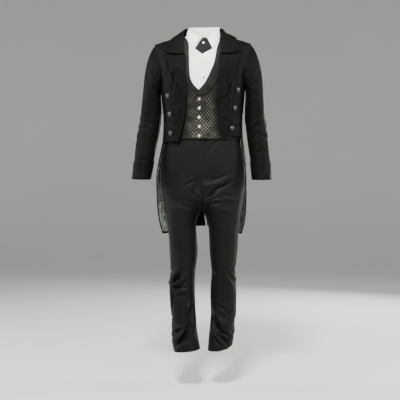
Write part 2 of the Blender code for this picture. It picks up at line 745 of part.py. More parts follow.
def coat_side(name, side):
    top = lambda share: ARMHOLE_SIDE(1 - share)
    left = smooth_path([(90 + SEAM_TURN, UNDERARM_Z), (90 + SEAM_TURN, -0.32),
                        (90 + SEAM_TURN, waist_height(name, 90) + SEAM)])
    seam = side_back_points(-SEAM_TURN)
    right = smooth_path(seam)
    bottom = waist_path(name, 90 + SEAM_TURN, seam[-1][0], SEAM)
    cut = patch(left, right, top, bottom)
    size = (ARMHOLE_SIDE_STEPS, SIDE_BACK_STEPS)
    cloth("coat_side_" + name, "coat_wool", coat_skin, mirrored(side, cut), size, 0.0, COAT_WALL)


def coat_back(name, side):
    columns = 7
    rows = ARMHOLE_BACK_STEPS + SIDE_BACK_STEPS + STRIP_STEPS
    neck = [(180 - SEAM_TURN, 0.042), (150, 0.040), (120, 0.035), (90 + SEAM_TURN, NECK_POINT_Z)]
    shoulder = [(90 + SEAM_TURN, NECK_POINT_Z), (90 + SEAM_TURN, 0.010), (90 + SEAM_TURN, -SHOULDER_DROP)]
    neck_share = 3 / columns
    top = join_paths([(neck_share, smooth_path(neck)), (1 - neck_share, smooth_path(shoulder))])
    seam = smooth_path(side_back_points(SEAM_TURN))
    strip = smooth_path(strip_points(SEAM_TURN, WAIST_BACK))
    right = join_paths([(ARMHOLE_BACK_STEPS / rows, ARMHOLE_BACK), (SIDE_BACK_STEPS / rows, seam),
                        (STRIP_STEPS / rows, strip)])
    vent = []
    for height in (-0.46, -0.60, -0.74, TAIL_HEM_CENTRE):
        vent.append((back_turn_at(COAT, VENT, height), height))
    middle = [(180 - SEAM_TURN, 0.042), (180 - SEAM_TURN, -0.10), (180 - SEAM_TURN, -0.25),
              (180 - SEAM_TURN, -0.40)]
    left = smooth_path(middle + vent)
    hem = smooth_path([left(1.0), (170, tail_hem(170)), right(1.0)])
    cut = patch(left, right, top, hem)
    cloth("coat_back_" + name, "coat_wool", coat_skin, mirrored(side, cut), (columns, rows), 0.0,
          COAT_WALL)


def tail_cut(name):
    """The skirt of the tail: waist seam, slanted front edge, hem and the strip it is sewn to."""
    start = (TAIL_START_TURN, waist_height(name, TAIL_START_TURN) - SEAM)
    front = [start, (72, -0.50), (82, -0.58), (93, -0.68), (102, -0.78), (109, tail_hem(109))]
    edge = strip_points(-TAIL_STRIP_TURN, WAIST_BACK - SEAM)
    side_share = TAIL_SIDE_STEPS / TAIL_COLUMNS
    top = join_paths([(side_share, waist_path(name, start[0], 90, -SEAM)),
                      (1 - side_share, waist_path(name, 90, edge[0][0], -SEAM))])
    hem = []
    for i in range(7):
        turn = front[-1][0] + (edge[-1][0] - front[-1][0]) * i / 6
        hem.append((turn, tail_hem(turn)))
    return patch(smooth_path(front), smooth_path(edge), top, smooth_path(hem))


def tail(name, side):
    """The skirt and its satin lining, which stops short of every edge of the skirt."""
    columns, rows = TAIL_COLUMNS, STRIP_STEPS
    cut = tail_cut(name)
    cloth("tail_skirt_" + name, "coat_wool", coat_skin, mirrored(side, cut), (columns, rows), 0.0,
          COAT_WALL)

    def trimmed(across, down):
        turn, height = cut(across, down)
        turn += 1.6 * smooth_step(1 - across * columns) - 0.4 * smooth_step((across - 1) * columns + 1)
        height += 0.008 * smooth_step((down - 1) * rows + 1) - 0.007 * smooth_step(1 - down * rows)
        return turn, height

    cloth("tail_lining_" + name, "satin_lining", coat_skin, mirrored(side, trimmed), (columns, rows),
          -COAT_WALL - GAP - LINING_EASE, LINING_WALL)


def lapel(name, side):
    """The turned lapel on the forepart: from the roll line to its own edge, with a soft roll."""
    edge = [point for point in COAT_EDGES[name] if GORGE[name][1] > point[1] > -0.30]
    roll = smooth_path(edge_in_turns(COAT, [GORGE[name]] + edge + [ROLL_END[name]]))
    outer = smooth_path(edge_in_turns(COAT, LAPEL_EDGES[name]))
    low = smooth_path([roll(1.0), outer(1.0)])
    tip, start = LAPEL_EDGES[name][0], GORGE[name]
    top = smooth_path(edge_in_turns(COAT, [start, ((start[0] + tip[0]) / 2, start[1] - 0.004), tip]))
    cut = patch(roll, outer, top, low)
    bases = {"roll": roll, "outer": outer}

    def lift(turn, height):
        share = 0.0
        for i in range(21):
            if bases["roll"](i / 20)[1] <= height:
                share = i / 20
                break
        start_turn, end_turn = bases["roll"](share)[0], bases["outer"](share)[0]
        across = min(max((abs(turn) - start_turn) / max(end_turn - start_turn, 1.0), 0.0), 1.0)
        return COAT_WALL + GAP + 0.0045 * math.sin(math.pi * across) * smooth_step(share * 3)

    cloth("lapel_" + name, "coat_wool", coat_skin, mirrored(side, cut), (5, 12), lift, COAT_WALL)


# Collar of the coat, from the gorge to the middle of the back: turn and height of its rolled upper
# edge, then of its lower edge on the shoulder
CollarRow = namedtuple("CollarRow", "turn height low_turn low_height")
COLLAR_BACK = [
    CollarRow(76, 0.0400, 62, 0.0030),
    CollarRow(90, 0.0490, 90, 0.0095),
    CollarRow(112, 0.0550, 114, 0.0080),
    CollarRow(145, 0.0585, 142, 0.0100),
    CollarRow(180, 0.0600, 180, 0.0120),
]
# The roll edge and the lower edge in front of the shoulder: x and height
COLLAR_ROLL_LINE = [(0.0795, -0.040), (0.0815, -0.005)]
COLLAR_LOW_LINE = [(0.0, 0.0), (-0.0050, 0.0190), (-0.0150, 0.0440), (-0.0290, 0.0640)]
COLLAR_NOTCH_RISE = 0.0120
COLLAR_END_DIP = 0.0050
COLLAR_ROLL = 0.0060


def collar_paths(name):
    gorge, notch = GORGE[name], LAPEL_EDGES[name][0]
    upper = [(gorge[0] + 0.0010, gorge[1] + 0.0030)] + COLLAR_ROLL_LINE
    lower = [(notch[0] + x, notch[1] + COLLAR_NOTCH_RISE + rise) for x, rise in COLLAR_LOW_LINE]
    upper = edge_in_turns(COAT, upper) + [(row.turn, row.height) for row in COLLAR_BACK]
    lower = edge_in_turns(COAT, lower) + [(row.low_turn, row.low_height) for row in COLLAR_BACK]
    return smooth_path(upper), smooth_path(lower)


def coat_collar():
    """The fall of the collar in one piece: it rolls over the stand and lies on the shoulders."""
    half, across = 12, 4
    outer = [[] for _ in range(across + 1)]
    inner = [[] for _ in range(across + 1)]
    line = [("r", -1, j / half) for j in range(half)] + [("l", 1, 1 - j / half) for j in range(half + 1)]
    paths = {name: collar_paths(name) for name, _ in SIDES}
    for name, side, share in line:
        upper, lower = paths[name][0](share), paths[name][1](share)
        for i in range(across + 1):
            part = i / across
            turn = upper[0] + (lower[0] - upper[0]) * part
            height = upper[1] + (lower[1] - upper[1]) * part
            bend = math.sin(math.pi * part)
            height -= COLLAR_END_DIP * bend * smooth_step(1 - share * half)
            ease = COLLAR_EASE * (0.5 + 0.5 * smooth_step((height + 0.040) / 0.040))
            lift = COAT_WALL + GAP + ease + COLLAR_ROLL * bend * (0.4 + 0.6 * smooth_step(share * 4))
            outer[i].append(lifted(coat_skin, side * turn, height, lift))
            inner[i].append(lifted(coat_skin, side * turn, height, lift - COAT_WALL))
    add_wall("coat_collar", "coat_wool", outer, inner)


# The stand under the collar's fall: turn, height of the neck seam and of its upper edge
StandRow = namedtuple("StandRow", "turn low high")
COAT_STAND = [
    StandRow(90, 0.0315, 0.0480),
    StandRow(120, 0.0362, 0.0545),
    StandRow(150, 0.0412, 0.0575),
    StandRow(180, 0.0432, 0.0585),
]


def coat_collar_stand():
    """The stand goes round the back of the neck from one shoulder seam to the other."""
    columns = 12
    line = []
    for j in range(columns + 1):
        turn = 90 + 180 * j / columns
        line.append((turn, *table_row(COAT_STAND, min(turn, 360 - turn))))
    outer, inner = [], []
    for part in (0.0, 1.0):
        heights = [(turn, high + (low - high) * part) for turn, low, high in line]
        outer.append([lifted(coat_skin, turn, height, 0.0) for turn, height in heights])
        inner.append([lifted(coat_skin, turn, height, -COAT_WALL) for turn, height in heights])
    add_wall("coat_collar_stand", "coat_wool", outer, inner)


def curve_point(points, share):
    place = min(int(share * (len(points) - 1)), len(points) - 2)
    part = share * (len(points) - 1) - place
    before, after = points[max(place - 1, 0)], points[min(place + 2, len(points) - 1)]
    return Vector(cubic(b, s, e, a, part)
                  for b, s, e, a in zip(before, points[place], points[place + 1], after))


def coat_buttons():
    places = {
        "l": [(0.1556, -0.2343), (0.1420, -0.3142), (0.1300, -0.4018)],
        "r": [(0.1491, -0.2586), (0.1405, -0.3381), (0.1362, -0.4219)],
    }
    for name, side in SIDES:
        for number, (x, height) in enumerate(places[name], 1):
            place, normal = on_surface(coat_skin, side * turn_at(COAT, x, height), height, GAP)
            profile = button_profile(COAT_BUTTON, COAT_BUTTON_HEIGHT)
            dome("coat_button_%s%d" % (name, number), "horn", place, normal, profile)
        height = WAIST_BACK + 0.006
        place, normal = on_surface(coat_skin, side * (strip_edge(height) + 4.0), height, GAP * 3)
        dome("waist_button_" + name, "horn", place, normal,
             button_profile(COAT_BUTTON, COAT_BUTTON_HEIGHT))


def sleeves():
    halves = (("top", -112.5, 112.5, 10), ("under", 112.5, 247.5, 6))
    rows = 13
    for name, side in SIDES:
        skin = sleeve_skin(name, side)
        for half, start, end, columns in halves:

            def cut(across, down):
                gap = SLEEVE_SEAM_TURN * (1 + 3 * smooth_step(1 - down * 4))
                return start + gap + (end - start - 2 * gap) * across, down * 0.995

            cloth("sleeve_%s_%s" % (half, name), "coat_wool", skin, cut, (columns, rows), 0.0, COAT_WALL,
                  side, (1.0, 0.004))
        cuff(name, side, skin)


def cuff(name, side, skin):
    length = ARMS[name][0].height - CUFF_HEM[name]
    start = 1 - (CUFF_DEPTH / length) * (1 - SLEEVE_HEAD_SHARE)
    columns, rows = 16, 2
    lift = GAP + 0.0011
    outer, inner = [], []
    for i in range(rows + 1):
        share = start + (1.0 - start) * i / rows
        angles = [360.0 * j / columns for j in range(columns)]
        outer.append([lifted(skin, angle, share, lift + 0.0018, side, 1.0, 0.004) for angle in angles])
        inner.append([lifted(skin, angle, share, lift, side, 1.0, 0.004) for angle in angles])
    add_wall("cuff_" + name, "coat_wool", outer, inner, wrap=True)


def build_coat():
    for name, side in SIDES:
        coat_front(name, side)
        coat_side(name, side)
        coat_back(name, side)
        tail(name, side)
        lapel(name, side)
    coat_collar()
    coat_collar_stand()
    coat_buttons()
    sleeves()


# Waistcoat

WAISTCOAT_BOTTOM = -0.448
WAISTCOAT_SHOULDER = -0.014
WAISTCOAT_EDGES = {
    "l": [(0.0870, 0.007), (0.0830, 0.000), (0.0785, -0.009), (0.0740, -0.020), (0.0651, -0.057),
          (0.0544, -0.121), (0.0354, -0.169), (0.0139, -0.212), (-0.0110, -0.238), (-0.0185, -0.262),
          (-0.0190, -0.340), (-0.0190, WAISTCOAT_BOTTOM)],
    "r": [(0.0870, 0.007), (0.0805, 0.000), (0.0725, -0.009), (0.0650, -0.020), (0.0572, -0.045),
          (0.0545, -0.110), (0.0529, -0.160), (0.0425, -0.206), (0.0141, -0.2414), (-0.0050, -0.262),
          (-0.0080, -0.340), (-0.0080, WAISTCOAT_BOTTOM)],
}
SHAWL_EDGES = {
    "l": [(0.1120, -0.003), (0.1085, -0.012), (0.1055, -0.023), (0.1020, -0.040), (0.0940, -0.100),
          (0.0810, -0.155), (0.0637, -0.200), (0.0264, -0.250), (-0.0150, -0.2655)],
    "r": [(0.1120, -0.003), (0.1075, -0.012), (0.1035, -0.023), (0.1000, -0.040), (0.0920, -0.100),
          (0.0810, -0.155), (0.0640, -0.205), (0.0410, -0.236), (0.0230, -0.2540)],
}
SHAWL_INNER = {
    "l": [(0.0850, 0.0085), (0.0815, 0.000), (0.0770, -0.009), (0.0725, -0.020), (0.0638, -0.057),
          (0.0531, -0.121), (0.0341, -0.169), (0.0126, -0.212), (-0.0165, -0.2420)],
    "r": [(0.0850, 0.0085), (0.0790, 0.000), (0.0712, -0.009), (0.0637, -0.020), (0.0560, -0.045),
          (0.0533, -0.110), (0.0517, -0.160), (0.0413, -0.206), (0.0225, -0.2310)],
}


def waistcoat_lift(name):
    """The wearer's left front laps over the right one at the middle."""
    def lift(turn, height):
        if name == "r":
            return WAISTCOAT_LIFT
        x = body_skin(turn, height).x
        return WAISTCOAT_LIFT + OVERLAP_LIFT * smooth_step((0.065 - x) / 0.035)

    return lift


def waistcoat_side(way):
    """Armhole and side seam of the waistcoat: way -1 is the front's edge, 1 is the back's."""
    seam = 90 + way * SEAM_TURN
    bends = ((24, -0.040), (33, -0.100), (28, -0.160), (14, -0.215))
    armhole = [(90 + way * SHOULDER_TURN, WAISTCOAT_SHOULDER)]
    armhole += [(90 + way * turn, height) for turn, height in bends]
    armhole.append((seam, -0.240))
    side_seam = [(seam, -0.240), (seam, -0.34), (seam, WAISTCOAT_BOTTOM + 0.004)]
    return join_paths([(0.56, smooth_path(armhole)), (0.44, smooth_path(side_seam))])


def waistcoat_front(name, side):
    left = smooth_path(edge_in_turns(BODY, WAISTCOAT_EDGES[name]))
    seam = 90 - SHOULDER_TURN
    top = smooth_path([left(0.0), (seam, -0.003), (seam, WAISTCOAT_SHOULDER)])
    right = waistcoat_side(-1)
    low = left(1.0)
    bottom = smooth_path([low, (30, WAISTCOAT_BOTTOM), (60, WAISTCOAT_BOTTOM + 0.002),
                          (90 - SEAM_TURN, WAISTCOAT_BOTTOM + 0.004)])
    cut = patch(left, right, top, bottom)
    cloth("waistcoat_front_" + name, "brocade", body_skin, mirrored(side, cut), (7, 13),
          waistcoat_lift(name), WAISTCOAT_WALL)


def waistcoat_back(name, side):
    left = smooth_path([(180 - SEAM_TURN, 0.028), (180 - SEAM_TURN, -0.20), (180 - SEAM_TURN, -0.440)])
    seam = 90 + SHOULDER_TURN
    neck = smooth_path([(180 - SEAM_TURN, 0.028), (140, 0.023), (seam, 0.007)])
    shoulder = smooth_path([(seam, 0.007), (seam, WAISTCOAT_SHOULDER)])
    right = waistcoat_side(1)
    bottom = smooth_path([(180 - SEAM_TURN, -0.440), (90 + SEAM_TURN, WAISTCOAT_BOTTOM + 0.004)])
    cut = patch(left, right, join_paths([(0.5, neck), (0.5, shoulder)]), bottom)
    cloth("waistcoat_back_" + name, "waistcoat_back", body_skin, mirrored(side, cut), (7, 10),
          WAISTCOAT_LIFT, WAISTCOAT_WALL)


def shawl(name, side):
    inner = smooth_path(edge_in_turns(BODY, SHAWL_INNER[name]))
    outer = smooth_path(edge_in_turns(BODY, SHAWL_EDGES[name]))
    top = smooth_path([inner(0.0), outer(0.0)])
    bottom = smooth_path([inner(1.0), outer(1.0)])
    cut = patch(inner, outer, top, bottom)
    base = waistcoat_lift(name)

    def lift(turn, height):
        ease = SHAWL_EASE + SHAWL_SHOULDER_EASE * smooth_step((height + 0.040) / 0.040)
        return base(turn, height) + GAP + WAISTCOAT_WALL + ease

    cloth("waistcoat_collar_" + name, "brocade", body_skin, mirrored(side, cut), (3, 13), lift,
          WAISTCOAT_WALL)


def waistcoat_buttons():
    lift = waistcoat_lift("l")
    profile = button_profile(WAISTCOAT_BUTTON, WAISTCOAT_BUTTON_HEIGHT)
    for number, height in enumerate((-0.2785, -0.3171, -0.3574, -0.3964, -0.4362), 1):
        turn = turn_at(BODY, WAISTCOAT_BUTTON_X, height)
        place, normal = on_surface(body_skin, turn, height, lift(turn, height) + GAP)
        dome("waistcoat_button_%d" % number, "silver", place, normal, profile, 10)


def build_waistcoat():
    for name, side in SIDES:
        waistcoat_front(name, side)
        waistcoat_back(name, side)
        shawl(name, side)
    waistcoat_buttons()


# Shirt front, collar and tie

# Neck edge of the shirt, from the shoulder seam down to the middle of the front: x and height
SHIRT_NECK = [(0.0670, 0.031), (0.0700, 0.012), (0.0520, -0.012), (0.0300, -0.026), (0.0092, -0.032)]
SHIRT_NECK_STEPS = 3
SHIRT_BOTTOM = -0.340
YOKE_NECK = [(90, 0.031), (130, 0.036), (180, 0.038)]
YOKE_STEPS = 6
YOKE_LOW = [(90, -0.002), (130, 0.008), (180, 0.012)]
NECK_CENTRE = 0.005
PLACKET_LIFT = 0.0018
PLACKET_HALF = 0.018


def shirt_neck(name, side):
    """The neck edge of one front as turns and heights, its front end at the placket's middle."""
    points = edge_in_turns(BODY, SHIRT_NECK)
    points[0] = (90 - SHOULDER_TURN, points[0][1])
    middle = side * SHIRT_CENTRE + SEAM
    points[-1] = (turn_at(BODY, middle, points[-1][1]), points[-1][1])
    return smooth_path(points)


def shirt_front(name, side):
    rows = 10
    neck = shirt_neck(name, side)
    middle = side * SHIRT_CENTRE + SEAM
    centre = [(middle, height) for height in (SHIRT_NECK[-1][1], -0.080, -0.200, SHIRT_BOTTOM)]
    share = SHIRT_NECK_STEPS / rows
    left = join_paths([(share, neck), (1 - share, smooth_path(edge_in_turns(BODY, centre)))])
    seam = 90 - SHOULDER_TURN
    top = smooth_path([neck(0.0), (seam, 0.014), (seam, -0.002)])
    right = smooth_path([(seam, -0.002), (44, -0.036), (42, -0.090), (42, -0.200),
                         (42, SHIRT_BOTTOM + 0.020)])
    bottom = smooth_path([left(1.0), (22, SHIRT_BOTTOM + 0.004), (42, SHIRT_BOTTOM + 0.020)])
    cut = patch(left, right, top, bottom)
    cloth("shirt_front_" + name, "shirt_cotton", body_skin, mirrored(side, cut), (6, rows), SHIRT_LIFT,
          SHIRT_WALL)


def yoke_line(points):
    """A line round the back of the neck, from one shoulder seam to the other."""
    half = [(max(turn, 90 + SHOULDER_TURN), height) for turn, height in points]
    return smooth_path(half + [(360 - turn, height) for turn, height in reversed(half[:-1])])


def shirt_yoke():
    """The back neck of the shirt, which carries the collar between the shoulder seams."""
    top, low = yoke_line(YOKE_NECK), yoke_line(YOKE_LOW)

    def cut(across, down):
        start, end = top(across), low(across)
        return tuple(a + (b - a) * down for a, b in zip(start, end))

    cloth("shirt_yoke", "shirt_cotton", body_skin, cut, (2 * YOKE_STEPS, 2), SHIRT_LIFT, SHIRT_WALL)


def placket():
    edges = []
    for x in (SHIRT_CENTRE - PLACKET_HALF, SHIRT_CENTRE + PLACKET_HALF):
        heights = (-0.040, -0.12, -0.20, -0.28, SHIRT_BOTTOM + 0.004)
        edges.append(smooth_path([(turn_at(BODY, x, height), height) for height in heights]))
    left, right = edges
    cut = patch(left, right, smooth_path([left(0.0), right(0.0)]), smooth_path([left(1.0), right(1.0)]))
    cloth("shirt_placket", "shirt_cotton", body_skin, cut, (2, 10), SHIRT_LIFT + PLACKET_LIFT, 0.0010)


# The fold at the top of the shirt collar: turn round the neck and height
FoldRow = namedtuple("FoldRow", "turn height")
COLLAR_FOLD = [
    FoldRow(0, -0.006),
    FoldRow(13, -0.002),
    FoldRow(35, 0.014),
    FoldRow(62, 0.039),
    FoldRow(90, 0.054),
    FoldRow(135, 0.066),
    FoldRow(180, 0.070),
]
# The leaves: turn of the fold, then the lower edge, by x and height in front of the shoulder and by
# turn and height behind it
LEAF_FRONT = [(13, 0.0417, -0.056), (24, 0.0560, -0.034), (36, 0.0610, -0.018), (48, 0.0665, -0.004),
              (64, 0.0710, 0.0110)]
LEAF_BACK = [(90, 92, 0.0265), (118, 118, 0.0310), (148, 148, 0.0350), (180, 180, 0.0365)]
LEAF_LIFT = 0.0030
BAND_HALF = 0.0635
BAND_FRONT = 0.0700
BAND_BACK = 0.0650


def collar_fold(turn, drop=0.0, out=0.0):
    """A point on the collar's fold, which runs in a ring round the neck."""
    height = table_row(COLLAR_FOLD, abs(turn))[0] - drop
    angle = math.radians(turn)
    depth = BAND_FRONT if math.cos(angle) > 0 else BAND_BACK
    return Vector((NECK_CENTRE + (BAND_HALF + out) * math.sin(angle), -(depth + out) * math.cos(angle),
                   height))


def leaf_rows(side):
    tops, lows = [], []
    for turn, x, height in LEAF_FRONT:
        tops.append(turn)
        place = turn_at(BODY, x + side * NECK_CENTRE, height)
        lows.append(lifted(body_skin, side * place, height, LEAF_LIFT))
    for turn, low_turn, height in LEAF_BACK:
        tops.append(turn)
        lows.append(lifted(body_skin, side * low_turn, height, LEAF_LIFT))
    return tops, lows


def collar_leaf(name, side):
    tops, lows = leaf_rows(side)
    columns, rows = 12, 2
    outer = [[] for _ in range(rows + 1)]
    inner = [[] for _ in range(rows + 1)]
    for j in range(columns + 1):
        share = j / columns * 0.998
        place = min(int(share * (len(tops) - 1)), len(tops) - 2)
        part = share * (len(tops) - 1) - place
        turn = tops[place] + (tops[place + 1] - tops[place]) * part
        top, low = collar_fold(side * turn, 0.0, 0.0015), curve_point(lows, share)
        out = Vector((top.x - NECK_CENTRE, top.y, 0.0)).normalized()
        for i in range(rows + 1):
            point = top.lerp(low, i / rows) + out * (SHIRT_WALL + 0.0018 * math.sin(math.pi * i / rows))
            outer[i].append(point)
            inner[i].append(point - out * SHIRT_WALL)
    add_wall("collar_leaf_" + name, "shirt_cotton", outer, inner)


def stand_line(side):
    """The seam that the stand is sewn to, from the front middle to the back middle of one side."""
    name = "l" if side > 0 else "r"
    neck, back = shirt_neck(name, side), yoke_line(YOKE_NECK)
    line = [neck(1 - i / SHIRT_NECK_STEPS) for i in range(SHIRT_NECK_STEPS)]
    line[0] = (turn_at(BODY, side * SHIRT_CENTRE + GAP, line[0][1]), line[0][1])
    line += [back(0.5 * i / YOKE_STEPS) for i in range(YOKE_STEPS + 1)]
    return [(side * turn, height) for turn, height in line]


BAND_END_TURN = 0.4


def collar_stand():
    """The band that stands on the shirt's neck edge, inside the leaves."""
    drop, rise = 0.0025, 0.0008
    lows = stand_line(1) + list(reversed(stand_line(-1)[:-1]))
    count = len(lows) - 1
    rows = 2
    outer = [[] for _ in range(rows + 1)]
    inner = [[] for _ in range(rows + 1)]
    for j, (turn, height) in enumerate(lows):
        share = min(j, count - j) / (count / 2)
        round_neck = max(180 * share ** 0.9, BAND_END_TURN) * (1 if j <= count / 2 else -1)
        top = collar_fold(round_neck, drop)
        low = lifted(body_skin, turn, height + rise, SHIRT_LIFT)
        out = Vector((top.x - NECK_CENTRE, top.y, 0.0)).normalized()
        for i in range(rows + 1):
            point = low.lerp(top, i / rows)
            outer[i].append(point)
            inner[i].append(point - out * SHIRT_WALL)
    add_wall("collar_stand", "shirt_cotton", outer, inner)


TIE_LIFT = 0.0015
TIE_WALL = 0.0018
TIE_CROWN = 0.0022


def tie_lift(height):
    """The tie rises from the shirt front over the front of the collar's stand."""
    return TIE_LIFT + 0.0040 * smooth_step((height + 0.055) / 0.035)


def tie():
    """A shield of silk: flat outline laid on the chest, its front slightly crowned."""
    left = [(-0.0297, -0.0559), (-0.0160, -0.0340), (0.0000, -0.0090)]
    right = [(0.0437, -0.0567), (0.0330, -0.0340), (0.0205, -0.0090)]
    low = (0.0014, -0.0821)
    rows = []
    for i in range(4):
        share = i / 3
        a, b = curve_2d(left, 1 - share), curve_2d(right, 1 - share)
        rows.append([(a[0] + (b[0] - a[0]) * j / 6, a[1] + (b[1] - a[1]) * j / 6) for j in range(7)])
    wide = rows[-1]
    for share in (0.5, 0.93):
        row = []
        for j, (x, height) in enumerate(wide):
            row.append((x + (low[0] - x) * share, height + (low[1] - height) * share))
        rows.append(row)
    outer, inner = [], []
    for i, row in enumerate(rows):
        outer.append([])
        inner.append([])
        for j, (x, height) in enumerate(row):
            crown = TIE_WALL + TIE_CROWN * math.sin(math.pi * j / 6)
            turn = turn_at(BODY, x, height)
            outer[-1].append(lifted(body_skin, turn, height, tie_lift(height) + crown))
            inner[-1].append(lifted(body_skin, turn, height, tie_lift(height)))
    add_wall("tie", "tie_silk", outer, inner)


def curve_2d(points, share):
    place = min(int(share * (len(points) - 1)), len(points) - 2)
    part = share * (len(points) - 1) - place
    start, end = points[place], points[place + 1]
    return (start[0] + (end[0] - start[0]) * part, start[1] + (end[1] - start[1]) * part)


def studs():
    turn = turn_at(BODY, SHIRT_CENTRE, -0.1865)
    place, normal = on_surface(body_skin, turn, -0.1865, SHIRT_LIFT + PLACKET_LIFT + GAP)
    dome("shirt_stud", "stud", place, normal, button_profile(STUD, 0.003), 10)
    turn = turn_at(BODY, 0.0061, -0.036)
    place, normal = on_surface(body_skin, turn, -0.036, tie_lift(-0.036) + TIE_WALL + TIE_CROWN + 2 * GAP)
    dome("tie_pin", "pearl", place, normal, button_profile(PIN, 0.006), 12)


def build_shirt():
    for name, side in SIDES:
        shirt_front(name, side)
        collar_leaf(name, side)
    shirt_yoke()
    placket()
    collar_stand()
    tie()
    studs()


# Trousers

TROUSER_TOP = WAISTBAND_TOP - WAISTBAND_DEPTH - 2 * GAP
# Steps in angle and height over which the leg's outward direction is measured
LEG_STEPS = (0.8, 0.0015)
# Rows of the trouser panels as shares of the length, closer together where the folds are
TROUSER_STEPS = [(0.0, 0), (0.165, 3), (0.335, 9), (0.60, 13), (0.72, 18), (0.80, 20), (1.0, 26)]


def trouser_share(down):
    """The share of the panel's length at an even step down its rows."""
    step = down * TROUSER_ROWS
    for (low, first), (high, last) in zip(TROUSER_STEPS, TROUSER_STEPS[1:]):
        if step <= last:
            return low + (high - low) * (step - first) / (last - first)
    return 1.0


def trouser_panel(name, side, front):
    top = TROUSER_TOP
    skin = leg_skin(name, side)
    gap = 0.20

    def cut(across, down):
        down = trouser_share(down)
        guess = top + (CROTCH_Z - 0.62 - top) * down
        start = max(leg_start(name, guess), gap)
        first, last = (start, 180 - gap) if front else (180 + gap, 360 - start)
        angle = first + (last - first) * across
        height = top + (hem_height(name, angle) - top) * down
        start = max(leg_start(name, height), gap)
        first, last = (start, 180 - gap) if front else (180 + gap, 360 - start)
        return first + (last - first) * across, height

    title = "trouser_%s_%s" % ("front" if front else "back", name)
    cloth(title, "trouser_wool", skin, cut, (8 if front else 6, TROUSER_ROWS), 0.0, TROUSER_WALL, side,
          LEG_STEPS)


def braid(name, side):
    """The narrow silk braid down the outer seam of each leg, on the rows of the panels."""
    skin = leg_skin(name, side)
    top = TROUSER_TOP

    def cut(across, down):
        share = trouser_share((1 + (TROUSER_ROWS - 1) * down) / TROUSER_ROWS)
        height = top + (hem_height(name, 180) + 0.002 * down - top) * share
        _, half, _, front, _ = leg_numbers(name, height)
        spread = math.degrees(BRAID_WIDTH / front)
        return 180 - BRAID_SHIFT + spread * (across - 0.5), height

    cloth("braid_" + name, "braid", skin, cut, (2, TROUSER_ROWS - 1), GAP + TRIM_LIFT, BRAID_WALL,
          side, LEG_STEPS)


# Upper and lower end of each pocket edge: x and height
POCKETS = {
    "l": ((0.1520, -0.462), (0.1700, -0.545)),
    "r": ((0.1600, -0.468), (0.1770, -0.550)),
}


def pocket(name, side):
    """The slanted edge of the side pocket, a narrow raised strip on the front panel."""
    start, end = POCKETS[name]
    skin = leg_skin(name, side)

    def cut(across, down):
        x = start[0] + (end[0] - start[0]) * down
        height = start[1] + (end[1] - start[1]) * down
        centre, half, _, _, _ = leg_numbers(name, height)
        ratio = min(max((centre - x) / half, -1.0), 1.0)
        angle = math.degrees(math.acos(signed_power(ratio, 1 / 0.93)))
        return angle - math.degrees(POCKET_EDGE_WIDTH / half) * (1 - across), height

    cloth("pocket_edge_" + name, "trouser_wool", skin, cut, (1, 5), GAP + POCKET_EDGE_WALL,
          POCKET_EDGE_WALL, side, LEG_STEPS)


def waistband():
    """The band round the waist, one closed ring."""
    columns, rows = 28, 1
    turns = [360.0 * j / columns for j in range(columns)]
    outer, inner = [], []
    for i in range(rows + 1):
        height = WAISTBAND_TOP - WAISTBAND_DEPTH * i / rows
        outer.append([lifted(body_skin, turn, height, SEAM) for turn in turns])
        inner.append([lifted(body_skin, turn, height, SEAM - WAISTBAND_WALL) for turn in turns])
    add_wall("trouser_waistband", "trouser_wool", outer, inner, wrap=True)


def build_trousers():
    for name, side in SIDES:
        trouser_panel(name, side, True)
        trouser_panel(name, side, False)
        braid(name, side)
        pocket(name, side)
    waistband()


def build_suit():
    clear_scene()
    build_coat()
    build_waistcoat()
    build_shirt()
    build_trousers()


build_suit()
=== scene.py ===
# Looks of the evening suit: smooth cloth shells with their creases, weaves, stitching and buttons.
# Metres, +Z up, the suit's front faces -Y and the wearer's left is +X.
import math
import bmesh
import bpy
import numpy as np
from mathutils import Matrix, Vector, kdtree, noise
from mathutils.bvhtree import BVHTree


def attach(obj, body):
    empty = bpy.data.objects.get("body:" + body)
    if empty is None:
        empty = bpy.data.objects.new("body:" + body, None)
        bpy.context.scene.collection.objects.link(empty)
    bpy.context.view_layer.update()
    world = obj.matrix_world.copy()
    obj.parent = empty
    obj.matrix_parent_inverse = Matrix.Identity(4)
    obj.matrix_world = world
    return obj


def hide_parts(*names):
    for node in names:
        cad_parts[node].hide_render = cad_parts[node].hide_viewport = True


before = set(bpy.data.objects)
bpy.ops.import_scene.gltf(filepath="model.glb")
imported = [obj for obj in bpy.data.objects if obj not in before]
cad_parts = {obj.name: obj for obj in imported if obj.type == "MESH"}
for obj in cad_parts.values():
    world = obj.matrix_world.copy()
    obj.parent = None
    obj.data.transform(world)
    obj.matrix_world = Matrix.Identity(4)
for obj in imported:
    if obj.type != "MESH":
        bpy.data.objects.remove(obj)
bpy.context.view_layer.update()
body = "root"
sides = ("l", "r")

# Camera: level with the middle of the suit, a touch to the wearer's left
cameraView = {"turn": 3.0, "distance": 3.3, "target": (-0.0134, 0.0, -0.712), "focal": 66.7,
              "sensor": 36.0, "nearest": 0.05, "farthest": 100.0}
